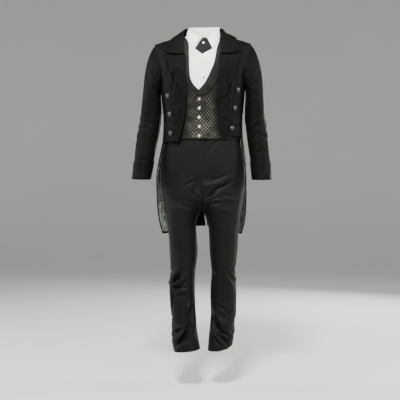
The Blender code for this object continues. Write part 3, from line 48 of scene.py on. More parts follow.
# Floor that curves up into a plain wall all round, with radius and height of its rings; the soft lamps
stage = {"floorHeight": -1.536, "floorColour": (0.56, 0.56, 0.545), "floorPaler": 1.05, "corners": 96,
         "rings": ((5.5, 0.0), (6.6, 0.10), (7.6, 0.45), (8.3, 1.1), (8.7, 2.0), (8.8, 7.0)),
         "skyColour": (0.80, 0.81, 0.82), "skyPower": 0.34}
lamps = [
    {"name": "keyLamp", "at": (-0.3, -2.7, 2.4), "aim": (0.0, 0.0, -0.6), "size": 0.7, "power": 430},
    {"name": "fillLamp", "at": (2.3, -2.7, 0.2), "aim": (0.0, 0.0, -0.8), "size": 1.4, "power": 60},
    {"name": "leftEdgeLamp", "at": (-2.8, 0.3, 0.2), "aim": (0.0, 0.0, -0.6), "size": 0.8, "power": 70},
    {"name": "rightEdgeLamp", "at": (2.8, 0.3, 0.4), "aim": (0.0, 0.0, -0.6), "size": 0.8, "power": 70},
    {"name": "backLamp", "at": (1.4, 3.0, 0.1), "aim": (0.0, 0.0, -0.6), "size": 1.4, "power": 120},
]


# Shader maths: a wire is one socket of a material's nodes

class Wire:
    def __init__(self, paint, socket):
        self.paint = paint
        self.socket = socket

    def reckon(self, operation, *others):
        values = {0: self}
        for place, other in enumerate(others, 1):
            values[place] = other
        return self.paint.node("ShaderNodeMath", {"operation": operation}, values)

    def __add__(self, other):
        return self.reckon("ADD", other)

    def __radd__(self, other):
        return self.reckon("ADD", other)

    def __sub__(self, other):
        return self.reckon("SUBTRACT", other)

    def __rsub__(self, other):
        return self.paint.node("ShaderNodeMath", {"operation": "SUBTRACT"}, {0: other, 1: self})

    def __mul__(self, other):
        return self.reckon("MULTIPLY", other)

    def __rmul__(self, other):
        return self.reckon("MULTIPLY", other)

    def __truediv__(self, other):
        return self.reckon("DIVIDE", other)

    def wave(self):
        return self.reckon("SINE")

    def size(self):
        return self.reckon("ABSOLUTE")

    def part(self):
        return self.reckon("FRACT")

    def most(self, other):
        return self.reckon("MAXIMUM", other)

    def between(self, low, high):
        settings = {"interpolation_type": "SMOOTHSTEP"}
        values = {"Value": self, "From Min": low, "From Max": high}
        return self.paint.node("ShaderNodeMapRange", settings, values)

    def stripe(self, pitch):
        return (self * (2 * math.pi / pitch)).wave()

    def ripple(self, pitch):
        return self.stripe(pitch) * 0.5 + 0.5  # from 0 to 1 and back in each pitch


class Paint:
    def __init__(self, name, constants):
        self.material = bpy.data.materials.new(name)
        self.material.use_nodes = True
        self.tree = self.material.node_tree
        self.shader = self.tree.nodes["Principled BSDF"]
        for socket, value in constants.items():
            self.shader.inputs[socket].default_value = value

    def node(self, kind, settings=None, inputs=None, output=0):
        made = self.tree.nodes.new(kind)
        for name, value in (settings or {}).items():
            setattr(made, name, value)
        for place, value in (inputs or {}).items():
            if isinstance(value, Wire):
                self.tree.links.new(value.socket, made.inputs[place])
            else:
                made.inputs[place].default_value = value
        return Wire(self, made.outputs[output])

    def put(self, socket, wire):
        self.tree.links.new(wire.socket, self.shader.inputs[socket])

    def clothPlace(self):
        # the flat cut of the piece: across the cloth and along its warp, in metres
        spot = self.node("ShaderNodeUVMap", {"uv_map": "cloth"})
        across = self.node("ShaderNodeSeparateXYZ", None, {0: spot}, "X")
        along = self.node("ShaderNodeSeparateXYZ", None, {0: spot}, "Y")
        return spot, across, along

    def solidPlace(self):
        return self.node("ShaderNodeTexCoord", None, None, "Object")

    def cloudy(self, spot, scale, detail=3.0, stretch=(1.0, 1.0, 1.0)):
        placed = self.node("ShaderNodeMapping", None, {"Vector": spot, "Scale": stretch})
        return self.node("ShaderNodeTexNoise", None, {"Vector": placed, "Scale": scale, "Detail": detail})

    def blend(self, share, first, second):
        made = self.tree.nodes.new("ShaderNodeMix")
        made.data_type = "RGBA"
        sockets = [s for s in made.inputs if s.enabled]
        for socket, value in zip(sockets, (share, first, second)):
            if isinstance(value, Wire):
                self.tree.links.new(value.socket, socket)
            elif socket.type == "RGBA":
                socket.default_value = (*value, 1.0)
            else:
                socket.default_value = value
        return Wire(self, [s for s in made.outputs if s.enabled][0])

    def relief(self, height, distance, strength):
        values = {"Height": height, "Distance": distance, "Strength": strength}
        return self.node("ShaderNodeBump", None, values)


# Finishes, each with what a user would change

woolLooks = {
    "coatWool": {"deep": (0.0009, 0.0009, 0.0009), "light": (0.0042, 0.0042, 0.0040), "twill": 0.0011,
                 "rough": 0.60, "nap": 0.008, "shine": 0.050},
    "trouserWool": {"deep": (0.0012, 0.0012, 0.0013), "light": (0.0046, 0.0046, 0.0044), "twill": 0.0013,
                    "rough": 0.56, "nap": 0.012, "shine": 0.10},
}
woolGrain = {"slant": 0.78, "yarn": 900.0, "patch": 14.0, "lint": 420.0, "lintFrom": 0.62, "lintTo": 0.80,
             "relief": 0.00035, "napRough": 0.45, "napTint": (0.86, 0.86, 0.88, 1.0)}


def wool(name):
    looks = woolLooks[name]
    paint = Paint(name, {"Sheen Weight": looks["nap"], "Sheen Roughness": woolGrain["napRough"],
                         "Specular IOR Level": looks["shine"], "Sheen Tint": woolGrain["napTint"]})
    spot, across, along = paint.clothPlace()
    rib = (across * woolGrain["slant"] + along).ripple(looks["twill"])  # the twill's diagonal ribs
    yarn = paint.cloudy(spot, woolGrain["yarn"], 2.0, (1.0, 0.16, 1.0))  # uneven warp threads
    patch = paint.cloudy(spot, woolGrain["patch"], 4.0, (1.0, 0.6, 1.0))  # brushing and slight wear
    lint = paint.cloudy(spot, woolGrain["lint"]).between(woolGrain["lintFrom"], woolGrain["lintTo"])
    tone = (patch - 0.5) * 0.9 + 0.34 + rib * 0.20 + (yarn - 0.5) * 0.5 + lint * 0.25
    paint.put("Base Color", paint.blend(tone.between(0.0, 1.0), looks["deep"], looks["light"]))
    paint.put("Roughness", (patch - 0.5) * 0.20 + looks["rough"] + rib * 0.06)
    height = rib * 0.55 + yarn * 0.35 + patch * 0.6
    paint.put("Normal", paint.relief(height, woolGrain["relief"], 0.55))
    return paint.material


# Satin lining: the pale end of its tones is painted sheen and the deep end painted shade of its wrinkles,
# over a grey-green cloth
satinLooks = {"deep": (0.008, 0.011, 0.009), "light": (0.42, 0.46, 0.40), "thread": 0.0007, "rough": 0.26,
              "streak": 520.0, "patch": 44.0, "relief": 0.0009}


def satin():
    paint = Paint("satinLining", {"Sheen Weight": 0.12, "Specular IOR Level": 0.75,
                                  "Sheen Tint": (0.9, 1.0, 0.9, 1.0)})
    spot, across, _ = paint.clothPlace()
    streak = paint.cloudy(spot, satinLooks["streak"], 3.0, (1.0, 0.05, 1.0))
    patch = paint.cloudy(spot, satinLooks["patch"], 4.0, (1.0, 0.45, 1.0))
    weave = across.ripple(satinLooks["thread"])
    # painted sheen and painted shade: the wide patches run from near black to pale, with metallic on the pale
    # ones, as light caught on the wrinkles; the fine streaks are uneven threads
    tone = (patch - 0.5) * 2.4 + 0.42 + (streak - 0.5) * 0.6
    paint.put("Base Color", paint.blend(tone.between(0.0, 1.0), satinLooks["deep"], satinLooks["light"]))
    paint.put("Roughness", (streak - 0.5) * 0.22 + satinLooks["rough"])
    paint.put("Normal", paint.relief(patch * 1.4 + streak * 0.3 + weave * 0.08, satinLooks["relief"], 0.7))
    paint.put("Metallic", patch.between(0.3, 0.8) * 0.35)
    return paint.material


# Brocade: a lattice of slanting threads with a leaf where they cross and a knot in each lozenge, sizes
# in metres and edges as shares of a lozenge; it has painted light, paler low in the middle of the front
# where light falls, and painted shade, darker above and at the sides where the coat shades it
brocadeLooks = {"lozenge": 0.0142, "tall": 1.2, "thread": 0.0011, "slant": 0.7,
                "ground": (0.0009, 0.0009, 0.0007), "olive": (0.026, 0.027, 0.016),
                "pale": (0.40, 0.41, 0.32), "line": (0.37, 0.42), "leaf": (0.58, 0.68),
                "knot": (0.16, 0.10), "threadEdge": (-0.5, 0.4),
                # where the painted light pools: the heights at which it starts and is full, and the distances
                # from the middle at which it starts and is full
                "lightPoolTop": -0.22, "lightPoolLow": -0.40, "lightPoolSide": 0.085, "lightPoolMiddle": 0.020,
                "worn": 26.0, "yarn": 700.0, "relief": 0.0005}


def brocade():
    looks = brocadeLooks
    paint = Paint("brocade", {"Sheen Weight": 0.01, "Specular IOR Level": 0.16})
    spot, across, along = paint.clothPlace()
    place = paint.solidPlace()
    side = paint.node("ShaderNodeSeparateXYZ", None, {0: place}, "X").size()
    height = paint.node("ShaderNodeSeparateXYZ", None, {0: place}, "Z")
    # painted light: a pool of paler figure low in the middle of the front, fading into painted shade above
    # and at the sides
    paintedLightPool = height.between(looks["lightPoolTop"], looks["lightPoolLow"])
    paintedLightPool = paintedLightPool * side.between(looks["lightPoolSide"], looks["lightPoolMiddle"])
    right = across / looks["lozenge"] + along / (looks["lozenge"] * looks["tall"])
    left = across / looks["lozenge"] - along / (looks["lozenge"] * looks["tall"])
    slantOne = (across + along * looks["slant"]).stripe(looks["thread"]).between(*looks["threadEdge"])
    slantTwo = (across - along * looks["slant"]).stripe(looks["thread"]).between(*looks["threadEdge"])
    rightEdge = (right.part() - 0.5).size()
    leftEdge = (left.part() - 0.5).size()
    rightLine = rightEdge.between(*looks["line"])
    leftLine = leftEdge.between(*looks["line"])
    crossing = (rightEdge + leftEdge).between(*looks["leaf"])  # a bright leaf where two lines cross
    knot = (rightEdge + leftEdge).between(*looks["knot"])  # and a small knot in the middle of the lozenge
    worn = paint.cloudy(spot, looks["worn"], 4.0)
    yarn = paint.cloudy(spot, looks["yarn"], 2.0)
    lattice = rightLine * (slantOne * 0.26 + 0.05) + leftLine * (slantTwo * 0.26 + 0.05)
    figure = lattice.most(knot * 0.34).most(crossing * (slantOne * 0.36 + 0.34))
    # the figure's shine: random worn patches, which are the cloth's own, plus the painted light pool
    shine = figure * ((worn - 0.5) * 1.5 + 0.32 + paintedLightPool * 0.46).between(0.0, 1.0)
    colour = paint.blend(shine.between(0.0, 0.34), looks["ground"], looks["olive"])
    bright = (shine * ((yarn - 0.5) * 1.2 + 0.80)).between(0.22, 0.90)
    paint.put("Base Color", paint.blend(bright, colour, looks["pale"]))
    paint.put("Metallic", shine * 0.40)
    paint.put("Roughness", 0.62 - shine * 0.26 + (yarn - 0.5) * 0.1)
    paint.put("Normal", paint.relief(figure * 0.8 + yarn * 0.25, looks["relief"], 0.85))
    return paint.material


backLooks = {"deep": (0.006, 0.006, 0.007), "light": (0.020, 0.020, 0.022), "patch": 20.0, "streak": 600.0,
             "rough": 0.40, "relief": 0.0008}


def backSatin():
    paint = Paint("waistcoatBack", {"Sheen Weight": 0.04, "Specular IOR Level": 0.4})
    spot = paint.clothPlace()[0]
    patch = paint.cloudy(spot, backLooks["patch"], 4.0)
    streak = paint.cloudy(spot, backLooks["streak"], 2.0, (1.0, 0.06, 1.0))
    share = (patch + (streak - 0.5) * 0.5).between(0.1, 0.9)
    paint.put("Base Color", paint.blend(share, backLooks["deep"], backLooks["light"]))
    paint.put("Roughness", backLooks["rough"] + (patch - 0.5) * 0.15)
    paint.put("Normal", paint.relief(patch * 1.2 + streak * 0.3, backLooks["relief"], 0.6))
    return paint.material


cottonLooks = {"shade": (0.74, 0.74, 0.725), "white": (0.93, 0.925, 0.905), "thread": 0.0006,
               "patch": 30.0, "slub": 500.0, "rough": 0.74, "relief": 0.0003}


def cotton():
    paint = Paint("shirtCotton", {"Sheen Weight": 0.06, "Specular IOR Level": 0.25})
    spot, across, along = paint.clothPlace()
    weave = across.ripple(cottonLooks["thread"]) * along.ripple(cottonLooks["thread"])
    patch = paint.cloudy(spot, cottonLooks["patch"], 4.0)
    slub = paint.cloudy(spot, cottonLooks["slub"], 2.0, (1.0, 0.12, 1.0))
    tone = (patch - 0.5) * 0.5 + 0.72 + (slub - 0.5) * 0.3 - weave * 0.05
    paint.put("Base Color", paint.blend(tone.between(0.0, 1.0), cottonLooks["shade"], cottonLooks["white"]))
    paint.put("Roughness", cottonLooks["rough"] + (patch - 0.5) * 0.12)
    paint.put("Normal", paint.relief(weave * 0.4 + slub * 0.4 + patch * 0.5, cottonLooks["relief"], 0.5))
    return paint.material


tieLooks = {"rib": 0.0021, "deep": (0.0010, 0.0010, 0.0012), "light": (0.0110, 0.0110, 0.0115),
            "speck": 500.0, "rough": 0.50, "relief": 0.0005}


def tieSilk():
    paint = Paint("tieSilk", {"Sheen Weight": 0.01, "Specular IOR Level": 0.16})
    spot, across, along = paint.clothPlace()
    first = (across + along).stripe(tieLooks["rib"])
    second = (across - along).stripe(tieLooks["rib"])
    grain = (first * second) * 0.5 + 0.5  # a small pebbled figure
    speck = paint.cloudy(spot, tieLooks["speck"])
    share = (grain * 0.6 + (speck - 0.4) * 0.7).between(0.1, 0.8)
    paint.put("Base Color", paint.blend(share, tieLooks["deep"], tieLooks["light"]))
    paint.put("Roughness", tieLooks["rough"] - grain * 0.14)
    paint.put("Normal", paint.relief(grain + speck * 0.4, tieLooks["relief"], 0.8))
    return paint.material


# Braid: black silk whose light tone is painted sheen on its cords
braidLooks = {"rib": 0.0110, "plait": 0.0016, "deep": (0.0035, 0.0035, 0.004), "light": (0.085, 0.085, 0.088),
              "rough": 0.36, "relief": 0.0006}


def braidSilk():
    paint = Paint("braidSilk", {"Sheen Weight": 0.04, "Specular IOR Level": 0.70})
    _, across, along = paint.clothPlace()
    cord = across.ripple(braidLooks["rib"])  # raised cords along the braid
    plait = (along + across * 0.5).ripple(braidLooks["plait"])
    # painted sheen: the cords' tops are coloured far paler than the black silk, and the grooves between them
    # dark, as painted shade
    share = (cord * 0.8 + plait * 0.3).between(0.45, 1.05)
    paint.put("Base Color", paint.blend(share, braidLooks["deep"], braidLooks["light"]))
    paint.put("Roughness", braidLooks["rough"] + plait * 0.10)
    paint.put("Normal", paint.relief(cord + plait * 0.35, braidLooks["relief"], 0.9))
    return paint.material


hornLooks = {"deep": (0.006, 0.006, 0.0065), "light": (0.034, 0.031, 0.028), "grain": 260.0, "rough": 0.36}


def hornPaint():
    paint = Paint("horn", {"Specular IOR Level": 0.42})
    spot = paint.solidPlace()
    grain = paint.cloudy(spot, hornLooks["grain"], 4.0, (1.0, 1.0, 0.35))
    paint.put("Base Color", paint.blend(grain.between(0.35, 0.75), hornLooks["deep"], hornLooks["light"]))
    paint.put("Roughness", hornLooks["rough"] + (grain - 0.5) * 0.2)
    paint.put("Normal", paint.relief(grain, 0.0002, 0.35))
    return paint.material


metalLooks = {
    "silver": {"bright": (0.78, 0.77, 0.74), "dull": (0.36, 0.35, 0.33), "rough": 0.28},
    "studMetal": {"bright": (0.30, 0.31, 0.33), "dull": (0.09, 0.09, 0.10), "rough": 0.34},
}
metalGrain = {"scuff": 900.0, "tarnish": 160.0}


def metalPaint(name):
    looks = metalLooks[name]
    paint = Paint(name, {"Metallic": 1.0})
    spot = paint.solidPlace()
    scuff = paint.cloudy(spot, metalGrain["scuff"])
    tarnish = paint.cloudy(spot, metalGrain["tarnish"])
    paint.put("Base Color", paint.blend(tarnish.between(0.35, 0.75), looks["bright"], looks["dull"]))
    paint.put("Roughness", (scuff - 0.5) * 0.25 + looks["rough"])
    paint.put("Normal", paint.relief(scuff, 0.0001, 0.3))
    return paint.material


pearlLooks = {"warm": (0.80, 0.76, 0.70), "cool": (0.88, 0.87, 0.86), "cloud": 240.0, "rough": 0.22}


def pearlPaint():
    paint = Paint("pearl", {"Coat Weight": 0.6, "Coat Roughness": 0.12, "Specular IOR Level": 0.6})
    spot = paint.solidPlace()
    cloud = paint.cloudy(spot, pearlLooks["cloud"])
    paint.put("Base Color", paint.blend(cloud, pearlLooks["warm"], pearlLooks["cool"]))
    paint.put("Roughness", pearlLooks["rough"] + cloud * 0.12)
    return paint.material


threadLooks = {
    "darkThread": {"deep": (0.0010, 0.0010, 0.0011), "light": (0.0058, 0.0058, 0.0060)},
    "whiteThread": {"deep": (0.62, 0.62, 0.60), "light": (0.84, 0.84, 0.82)},
}
threadGrain = {"twist": 2600.0, "rough": 0.50, "relief": 0.0002}


def threadPaint(name):
    paint = Paint(name, {"Sheen Weight": 0.02, "Specular IOR Level": 0.18})
    spot = paint.solidPlace()
    twist = paint.cloudy(spot, threadGrain["twist"], 2.0)
    paint.put("Base Color", paint.blend(twist, threadLooks[name]["deep"], threadLooks[name]["light"]))
    paint.put("Roughness", threadGrain["rough"] + twist * 0.2)
    paint.put("Normal", paint.relief(twist, threadGrain["relief"], 0.6))
    return paint.material


def floorPaint():
    paint = Paint("paleFloor", {"Specular IOR Level": 0.2})
    spot = paint.solidPlace()
    patch = paint.cloudy(spot, 1.2, 4.0)
    paler = tuple(value * stage["floorPaler"] for value in stage["floorColour"])
    paint.put("Base Color", paint.blend(patch, stage["floorColour"], paler))
    paint.put("Roughness", 0.82 + patch * 0.1)
    return paint.material


finishes = {
    "coat_wool": wool("coatWool"),
    "trouser_wool": wool("trouserWool"),
    "satin_lining": satin(),
    "brocade": brocade(),
    "waistcoat_back": backSatin(),
    "shirt_cotton": cotton(),
    "tie_silk": tieSilk(),
    "braid": braidSilk(),
    "horn": hornPaint(),
    "silver": metalPaint("silver"),
    "pearl": pearlPaint(),
    "stud": metalPaint("studMetal"),
}
darkThread = threadPaint("darkThread")
whiteThread = threadPaint("whiteThread")
print("finishes made:", len(finishes))


# Creases. Each is placed on the side from which it is seen: across is x on the front and back,
# and y on the left and right; slope in degrees, bend as a curve of its line, depth below 0 is a trough.

creaseColumns = ("view", "across", "height", "slope", "length", "width", "depth", "bend")
trouserCreases = {
    "l": [
        ("front", 0.006, -0.560, 86, 0.110, 0.0045, -0.0014, 0.0),
        ("front", 0.052, -0.472, 52, 0.038, 0.0060, -0.0015, 2.0),
        ("front", 0.092, -0.612, 22, 0.040, 0.0050, -0.0018, -2.0),
        ("front", 0.070, -0.634, 26, 0.045, 0.0050, 0.0016, -2.0),
        ("front", 0.102, -0.646, 24, 0.034, 0.0055, -0.0042, -3.0),
        ("front", 0.060, -0.668, 34, 0.036, 0.0055, -0.0036, 4.0),
        ("front", 0.038, -0.690, 30, 0.026, 0.0050, -0.0030, 0.0),
        ("front", 0.075, -0.700, 12, 0.040, 0.0055, -0.0018, 3.0),
        ("front", 0.110, -0.706, -18, 0.034, 0.0060, 0.0018, -2.0),
        ("front", 0.058, -0.728, 6, 0.032, 0.0050, -0.0022, 0.0),
        ("front", 0.020, -0.735, 62, 0.030, 0.0050, -0.0026, 0.0),
        ("front", 0.092, -0.752, -10, 0.030, 0.0050, 0.0012, 0.0),
        ("front", 0.084, -0.860, 87, 0.080, 0.0100, 0.0012, 0.0),
        ("front", 0.062, -0.985, 80, 0.050, 0.0090, -0.0012, 0.0),
        ("front", 0.046, -1.032, -60, 0.020, 0.0050, -0.0030, 0.0),
        ("front", 0.130, -1.052, -60, 0.030, 0.0055, -0.0026, 2.0),
        ("front", 0.120, -1.066, -62, 0.030, 0.0055, 0.0022, 0.0),
        ("front", 0.040, -1.110, 86, 0.050, 0.0055, 0.0020, 0.0),
        ("front", 0.054, -1.164, 20, 0.018, 0.0065, 0.0024, 0.0),
        ("front", 0.076, -1.178, -30, 0.030, 0.0050, -0.0024, 0.0),
        ("front", 0.112, -1.206, -48, 0.028, 0.0085, -0.0016, 0.0),
        ("front", 0.078, -1.240, -52, 0.055, 0.0075, 0.0038, -5.0),
        ("front", 0.061, -1.264, -56, 0.044, 0.0058, -0.0046, -5.0),
        ("front", 0.112, -1.244, -28, 0.030, 0.0100, 0.0020, 0.0),
        ("front", 0.047, -1.276, -68, 0.045, 0.0055, 0.0026, -2.0),
        ("front", 0.084, -1.294, -6, 0.022, 0.0048, -0.0030, 0.0),
        ("front", 0.064, -1.328, -46, 0.034, 0.0050, -0.0036, 0.0),
        ("front", 0.080, -1.322, -50, 0.036, 0.0055, 0.0034, 2.0),
        ("front", 0.098, -1.322, -52, 0.036, 0.0052, -0.0042, 2.0),
        ("front", 0.118, -1.300, -60, 0.032, 0.0070, 0.0024, 0.0),
        ("left", 0.020, -0.620, 76, 0.060, 0.0070, -0.0014, 0.0),
        ("left", -0.030, -1.020, 34, 0.032, 0.0060, -0.0024, 2.0),
        ("left", -0.012, -1.062, -20, 0.036, 0.0060, 0.0022, 0.0),
        ("left", 0.022, -1.088, 26, 0.030, 0.0060, -0.0026, 0.0),
        ("left", 0.000, -1.226, 40, 0.036, 0.0060, -0.0030, 2.0),
        ("left", 0.014, -1.272, 30, 0.036, 0.0060, 0.0026, 0.0),
        ("left", -0.016, -1.316, 44, 0.030, 0.0060, -0.0026, 0.0),
        ("back", 0.050, -0.690, -34, 0.050, 0.0070, -0.0032, 3.0),
        ("back", 0.074, -0.724, -26, 0.050, 0.0070, 0.0026, 3.0),
        ("back", 0.062, -0.762, -22, 0.050, 0.0070, -0.0030, 3.0),
        ("back", 0.100, -0.640, -60, 0.060, 0.0080, -0.0020, 0.0),
        ("back", 0.084, -1.000, 10, 0.044, 0.0065, -0.0032, -3.0),
        ("back", 0.092, -1.030, -6, 0.044, 0.0065, 0.0026, -2.0),
        ("back", 0.080, -1.058, 16, 0.040, 0.0060, -0.0034, -2.0),
        ("back", 0.096, -1.090, -14, 0.036, 0.0060, -0.0022, 0.0),
        ("back", 0.084, -1.240, 30, 0.040, 0.0060, -0.0030, 2.0),
        ("back", 0.070, -1.284, 24, 0.038, 0.0060, 0.0026, 0.0),
        ("back", 0.096, -1.322, 34, 0.034, 0.0060, -0.0032, 0.0),
    ],
    "r": [
        ("front", -0.022, -0.640, 82, 0.034, 0.0050, -0.0022, 0.0),
        ("front", -0.046, -0.636, 24, 0.020, 0.0045, -0.0020, 0.0),
        ("front", -0.034, -0.668, 78, 0.026, 0.0050, -0.0034, 0.0),
        ("front", -0.016, -0.700, -40, 0.030, 0.0050, -0.0030, -3.0),
        ("front", -0.052, -0.722, -28, 0.030, 0.0050, -0.0016, 0.0),
        ("front", -0.062, -0.755, -20, 0.034, 0.0060, 0.0014, 0.0),
        ("front", -0.094, -0.900, 86, 0.090, 0.0100, 0.0011, 0.0),
        ("front", -0.084, -0.985, 72, 0.034, 0.0060, -0.0014, 0.0),
        ("front", -0.124, -1.046, 60, 0.034, 0.0054, 0.0044, -2.0),
        ("front", -0.110, -1.055, 54, 0.030, 0.0048, -0.0046, -2.0),
        ("front", -0.098, -1.062, 34, 0.022, 0.0060, 0.0034, 0.0),
        ("front", -0.078, -1.072, 40, 0.014, 0.0055, -0.0028, 0.0),
        ("front", -0.120, -1.090, -6, 0.026, 0.0045, -0.0042, 0.0),
        ("front", -0.094, -1.103, -5, 0.040, 0.0048, 0.0030, 0.0),
        ("front", -0.100, -1.127, 4, 0.036, 0.0048, -0.0024, 3.0),
        ("front", -0.134, -1.128, 87, 0.050, 0.0048, 0.0028, 0.0),
        ("front", -0.127, -1.140, 86, 0.044, 0.0042, -0.0026, 0.0),
        ("front", -0.063, -1.184, 64, 0.036, 0.0058, 0.0036, -2.0),
        ("front", -0.050, -1.198, 74, 0.030, 0.0050, -0.0036, 0.0),
        ("front", -0.036, -1.262, 88, 0.075, 0.0060, 0.0030, 0.0),
        ("front", -0.112, -1.250, 14, 0.028, 0.0110, -0.0026, 0.0),
        ("front", -0.110, -1.284, 20, 0.028, 0.0045, -0.0036, 0.0),
        ("front", -0.106, -1.308, 46, 0.036, 0.0060, 0.0042, 2.0),
        ("front", -0.079, -1.304, 56, 0.054, 0.0058, -0.0052, -3.0),
        ("front", -0.059, -1.300, 61, 0.056, 0.0065, 0.0044, -3.0),
        ("front", -0.084, -1.344, 18, 0.030, 0.0080, 0.0030, 0.0),
        ("right", 0.016, -0.630, 70, 0.050, 0.0070, -0.0014, 0.0),
        ("right", -0.026, -1.030, -30, 0.034, 0.0060, -0.0030, 2.0),
        ("right", -0.010, -1.066, 18, 0.036, 0.0060, 0.0028, 0.0),
        ("right", 0.018, -1.098, -24, 0.032, 0.0060, -0.0030, 0.0),
        ("right", -0.020, -1.240, -38, 0.036, 0.0060, -0.0028, 2.0),
        ("right", 0.004, -1.286, -30, 0.034, 0.0060, 0.0026, 0.0),
        ("right", -0.034, -1.322, -40, 0.030, 0.0060, -0.0026, 0.0),
        ("back", -0.054, -0.694, 36, 0.050, 0.0070, -0.0030, -3.0),
        ("back", -0.078, -0.730, 24, 0.050, 0.0070, 0.0026, -3.0),
        ("back", -0.060, -0.768, 20, 0.050, 0.0070, -0.0030, -3.0),
        ("back", -0.104, -0.650, 62, 0.060, 0.0080, -0.0020, 0.0),
        ("back", -0.082, -1.006, -12, 0.044, 0.0065, -0.0034, 3.0),
        ("back", -0.094, -1.036, 8, 0.044, 0.0065, 0.0028, 2.0),
        ("back", -0.078, -1.066, -18, 0.040, 0.0060, -0.0036, 2.0),
        ("back", -0.098, -1.102, 14, 0.036, 0.0060, -0.0022, 0.0),
        ("back", -0.086, -1.246, -28, 0.040, 0.0060, -0.0030, -2.0),
        ("back", -0.066, -1.290, -26, 0.038, 0.0060, 0.0028, 0.0),
        ("back", -0.094, -1.326, -34, 0.034, 0.0060, -0.0030, 0.0),
    ],
}
coatCreases = [
    ("front", -0.120, -0.190, 78, 0.040, 0.0065, -0.0016, 2.0),
    ("front", -0.142, -0.130, 84, 0.044, 0.0070, -0.0012, 0.0),
    ("front", -0.128, -0.300, -64, 0.036, 0.0060, -0.0012, -2.0),
    ("front", -0.096, -0.312, -58, 0.030, 0.0050, 0.0012, 0.0),
    ("front", -0.104, -0.345, 20, 0.036, 0.0070, -0.0009, 0.0),
    ("front", -0.150, -0.372, -30, 0.026, 0.0060, -0.0012, 0.0),
    ("front", 0.112, -0.262, 84, 0.040, 0.0055, -0.0022, -2.0),
    ("front", 0.124, -0.285, 82, 0.044, 0.0060, 0.0016, -2.0),
    ("front", 0.132, -0.268, 78, 0.030, 0.0055, -0.0014, 0.0),
    ("front", 0.140, -0.205, 80, 0.030, 0.0060, -0.0012, 0.0),
    ("front", 0.104, -0.372, -26, 0.028, 0.0060, -0.0012, 0.0),
    ("front", 0.158, -0.390, 34, 0.024, 0.0060, -0.0010, 0.0),
    ("back", 0.070, -0.130, 62, 0.060, 0.0090, -0.0014, 2.0),
    ("back", -0.074, -0.136, -60, 0.060, 0.0090, -0.0014, -2.0),
    ("back", 0.118, -0.210, 70, 0.040, 0.0080, -0.0014, 0.0),
    ("back", -0.122, -0.220, -68, 0.040, 0.0080, -0.0014, 0.0),
    ("back", 0.046, -0.356, 12, 0.050, 0.0080, -0.0014, 2.0),
    ("back", -0.050, -0.366, -10, 0.050, 0.0080, -0.0012, -2.0),
    ("back", 0.006, -0.310, 4, 0.040, 0.0080, 0.0010, 0.0),
    ("back", 0.110, -0.560, 86, 0.120, 0.0120, -0.0022, 0.0),
    ("back", -0.108, -0.580, -86, 0.120, 0.0120, -0.0022, 0.0),
    ("back", 0.140, -0.640, 84, 0.100, 0.0110, 0.0020, 0.0),
    ("back", -0.142, -0.660, -84, 0.100, 0.0110, 0.0020, 0.0),
    ("back", 0.052, -0.700, 88, 0.090, 0.0110, 0.0014, 0.0),
    ("back", -0.050, -0.720, -88, 0.090, 0.0110, 0.0014, 0.0),
    ("left", 0.020, -0.330, 12, 0.040, 0.0080, -0.0014, 0.0),
    ("right", 0.022, -0.340, -14, 0.040, 0.0080, -0.0014, 0.0),
    ("left", 0.030, -0.560, 78, 0.080, 0.0110, -0.0018, 0.0),
    ("right", 0.034, -0.580, -78, 0.080, 0.0110, -0.0018, 0.0),
]
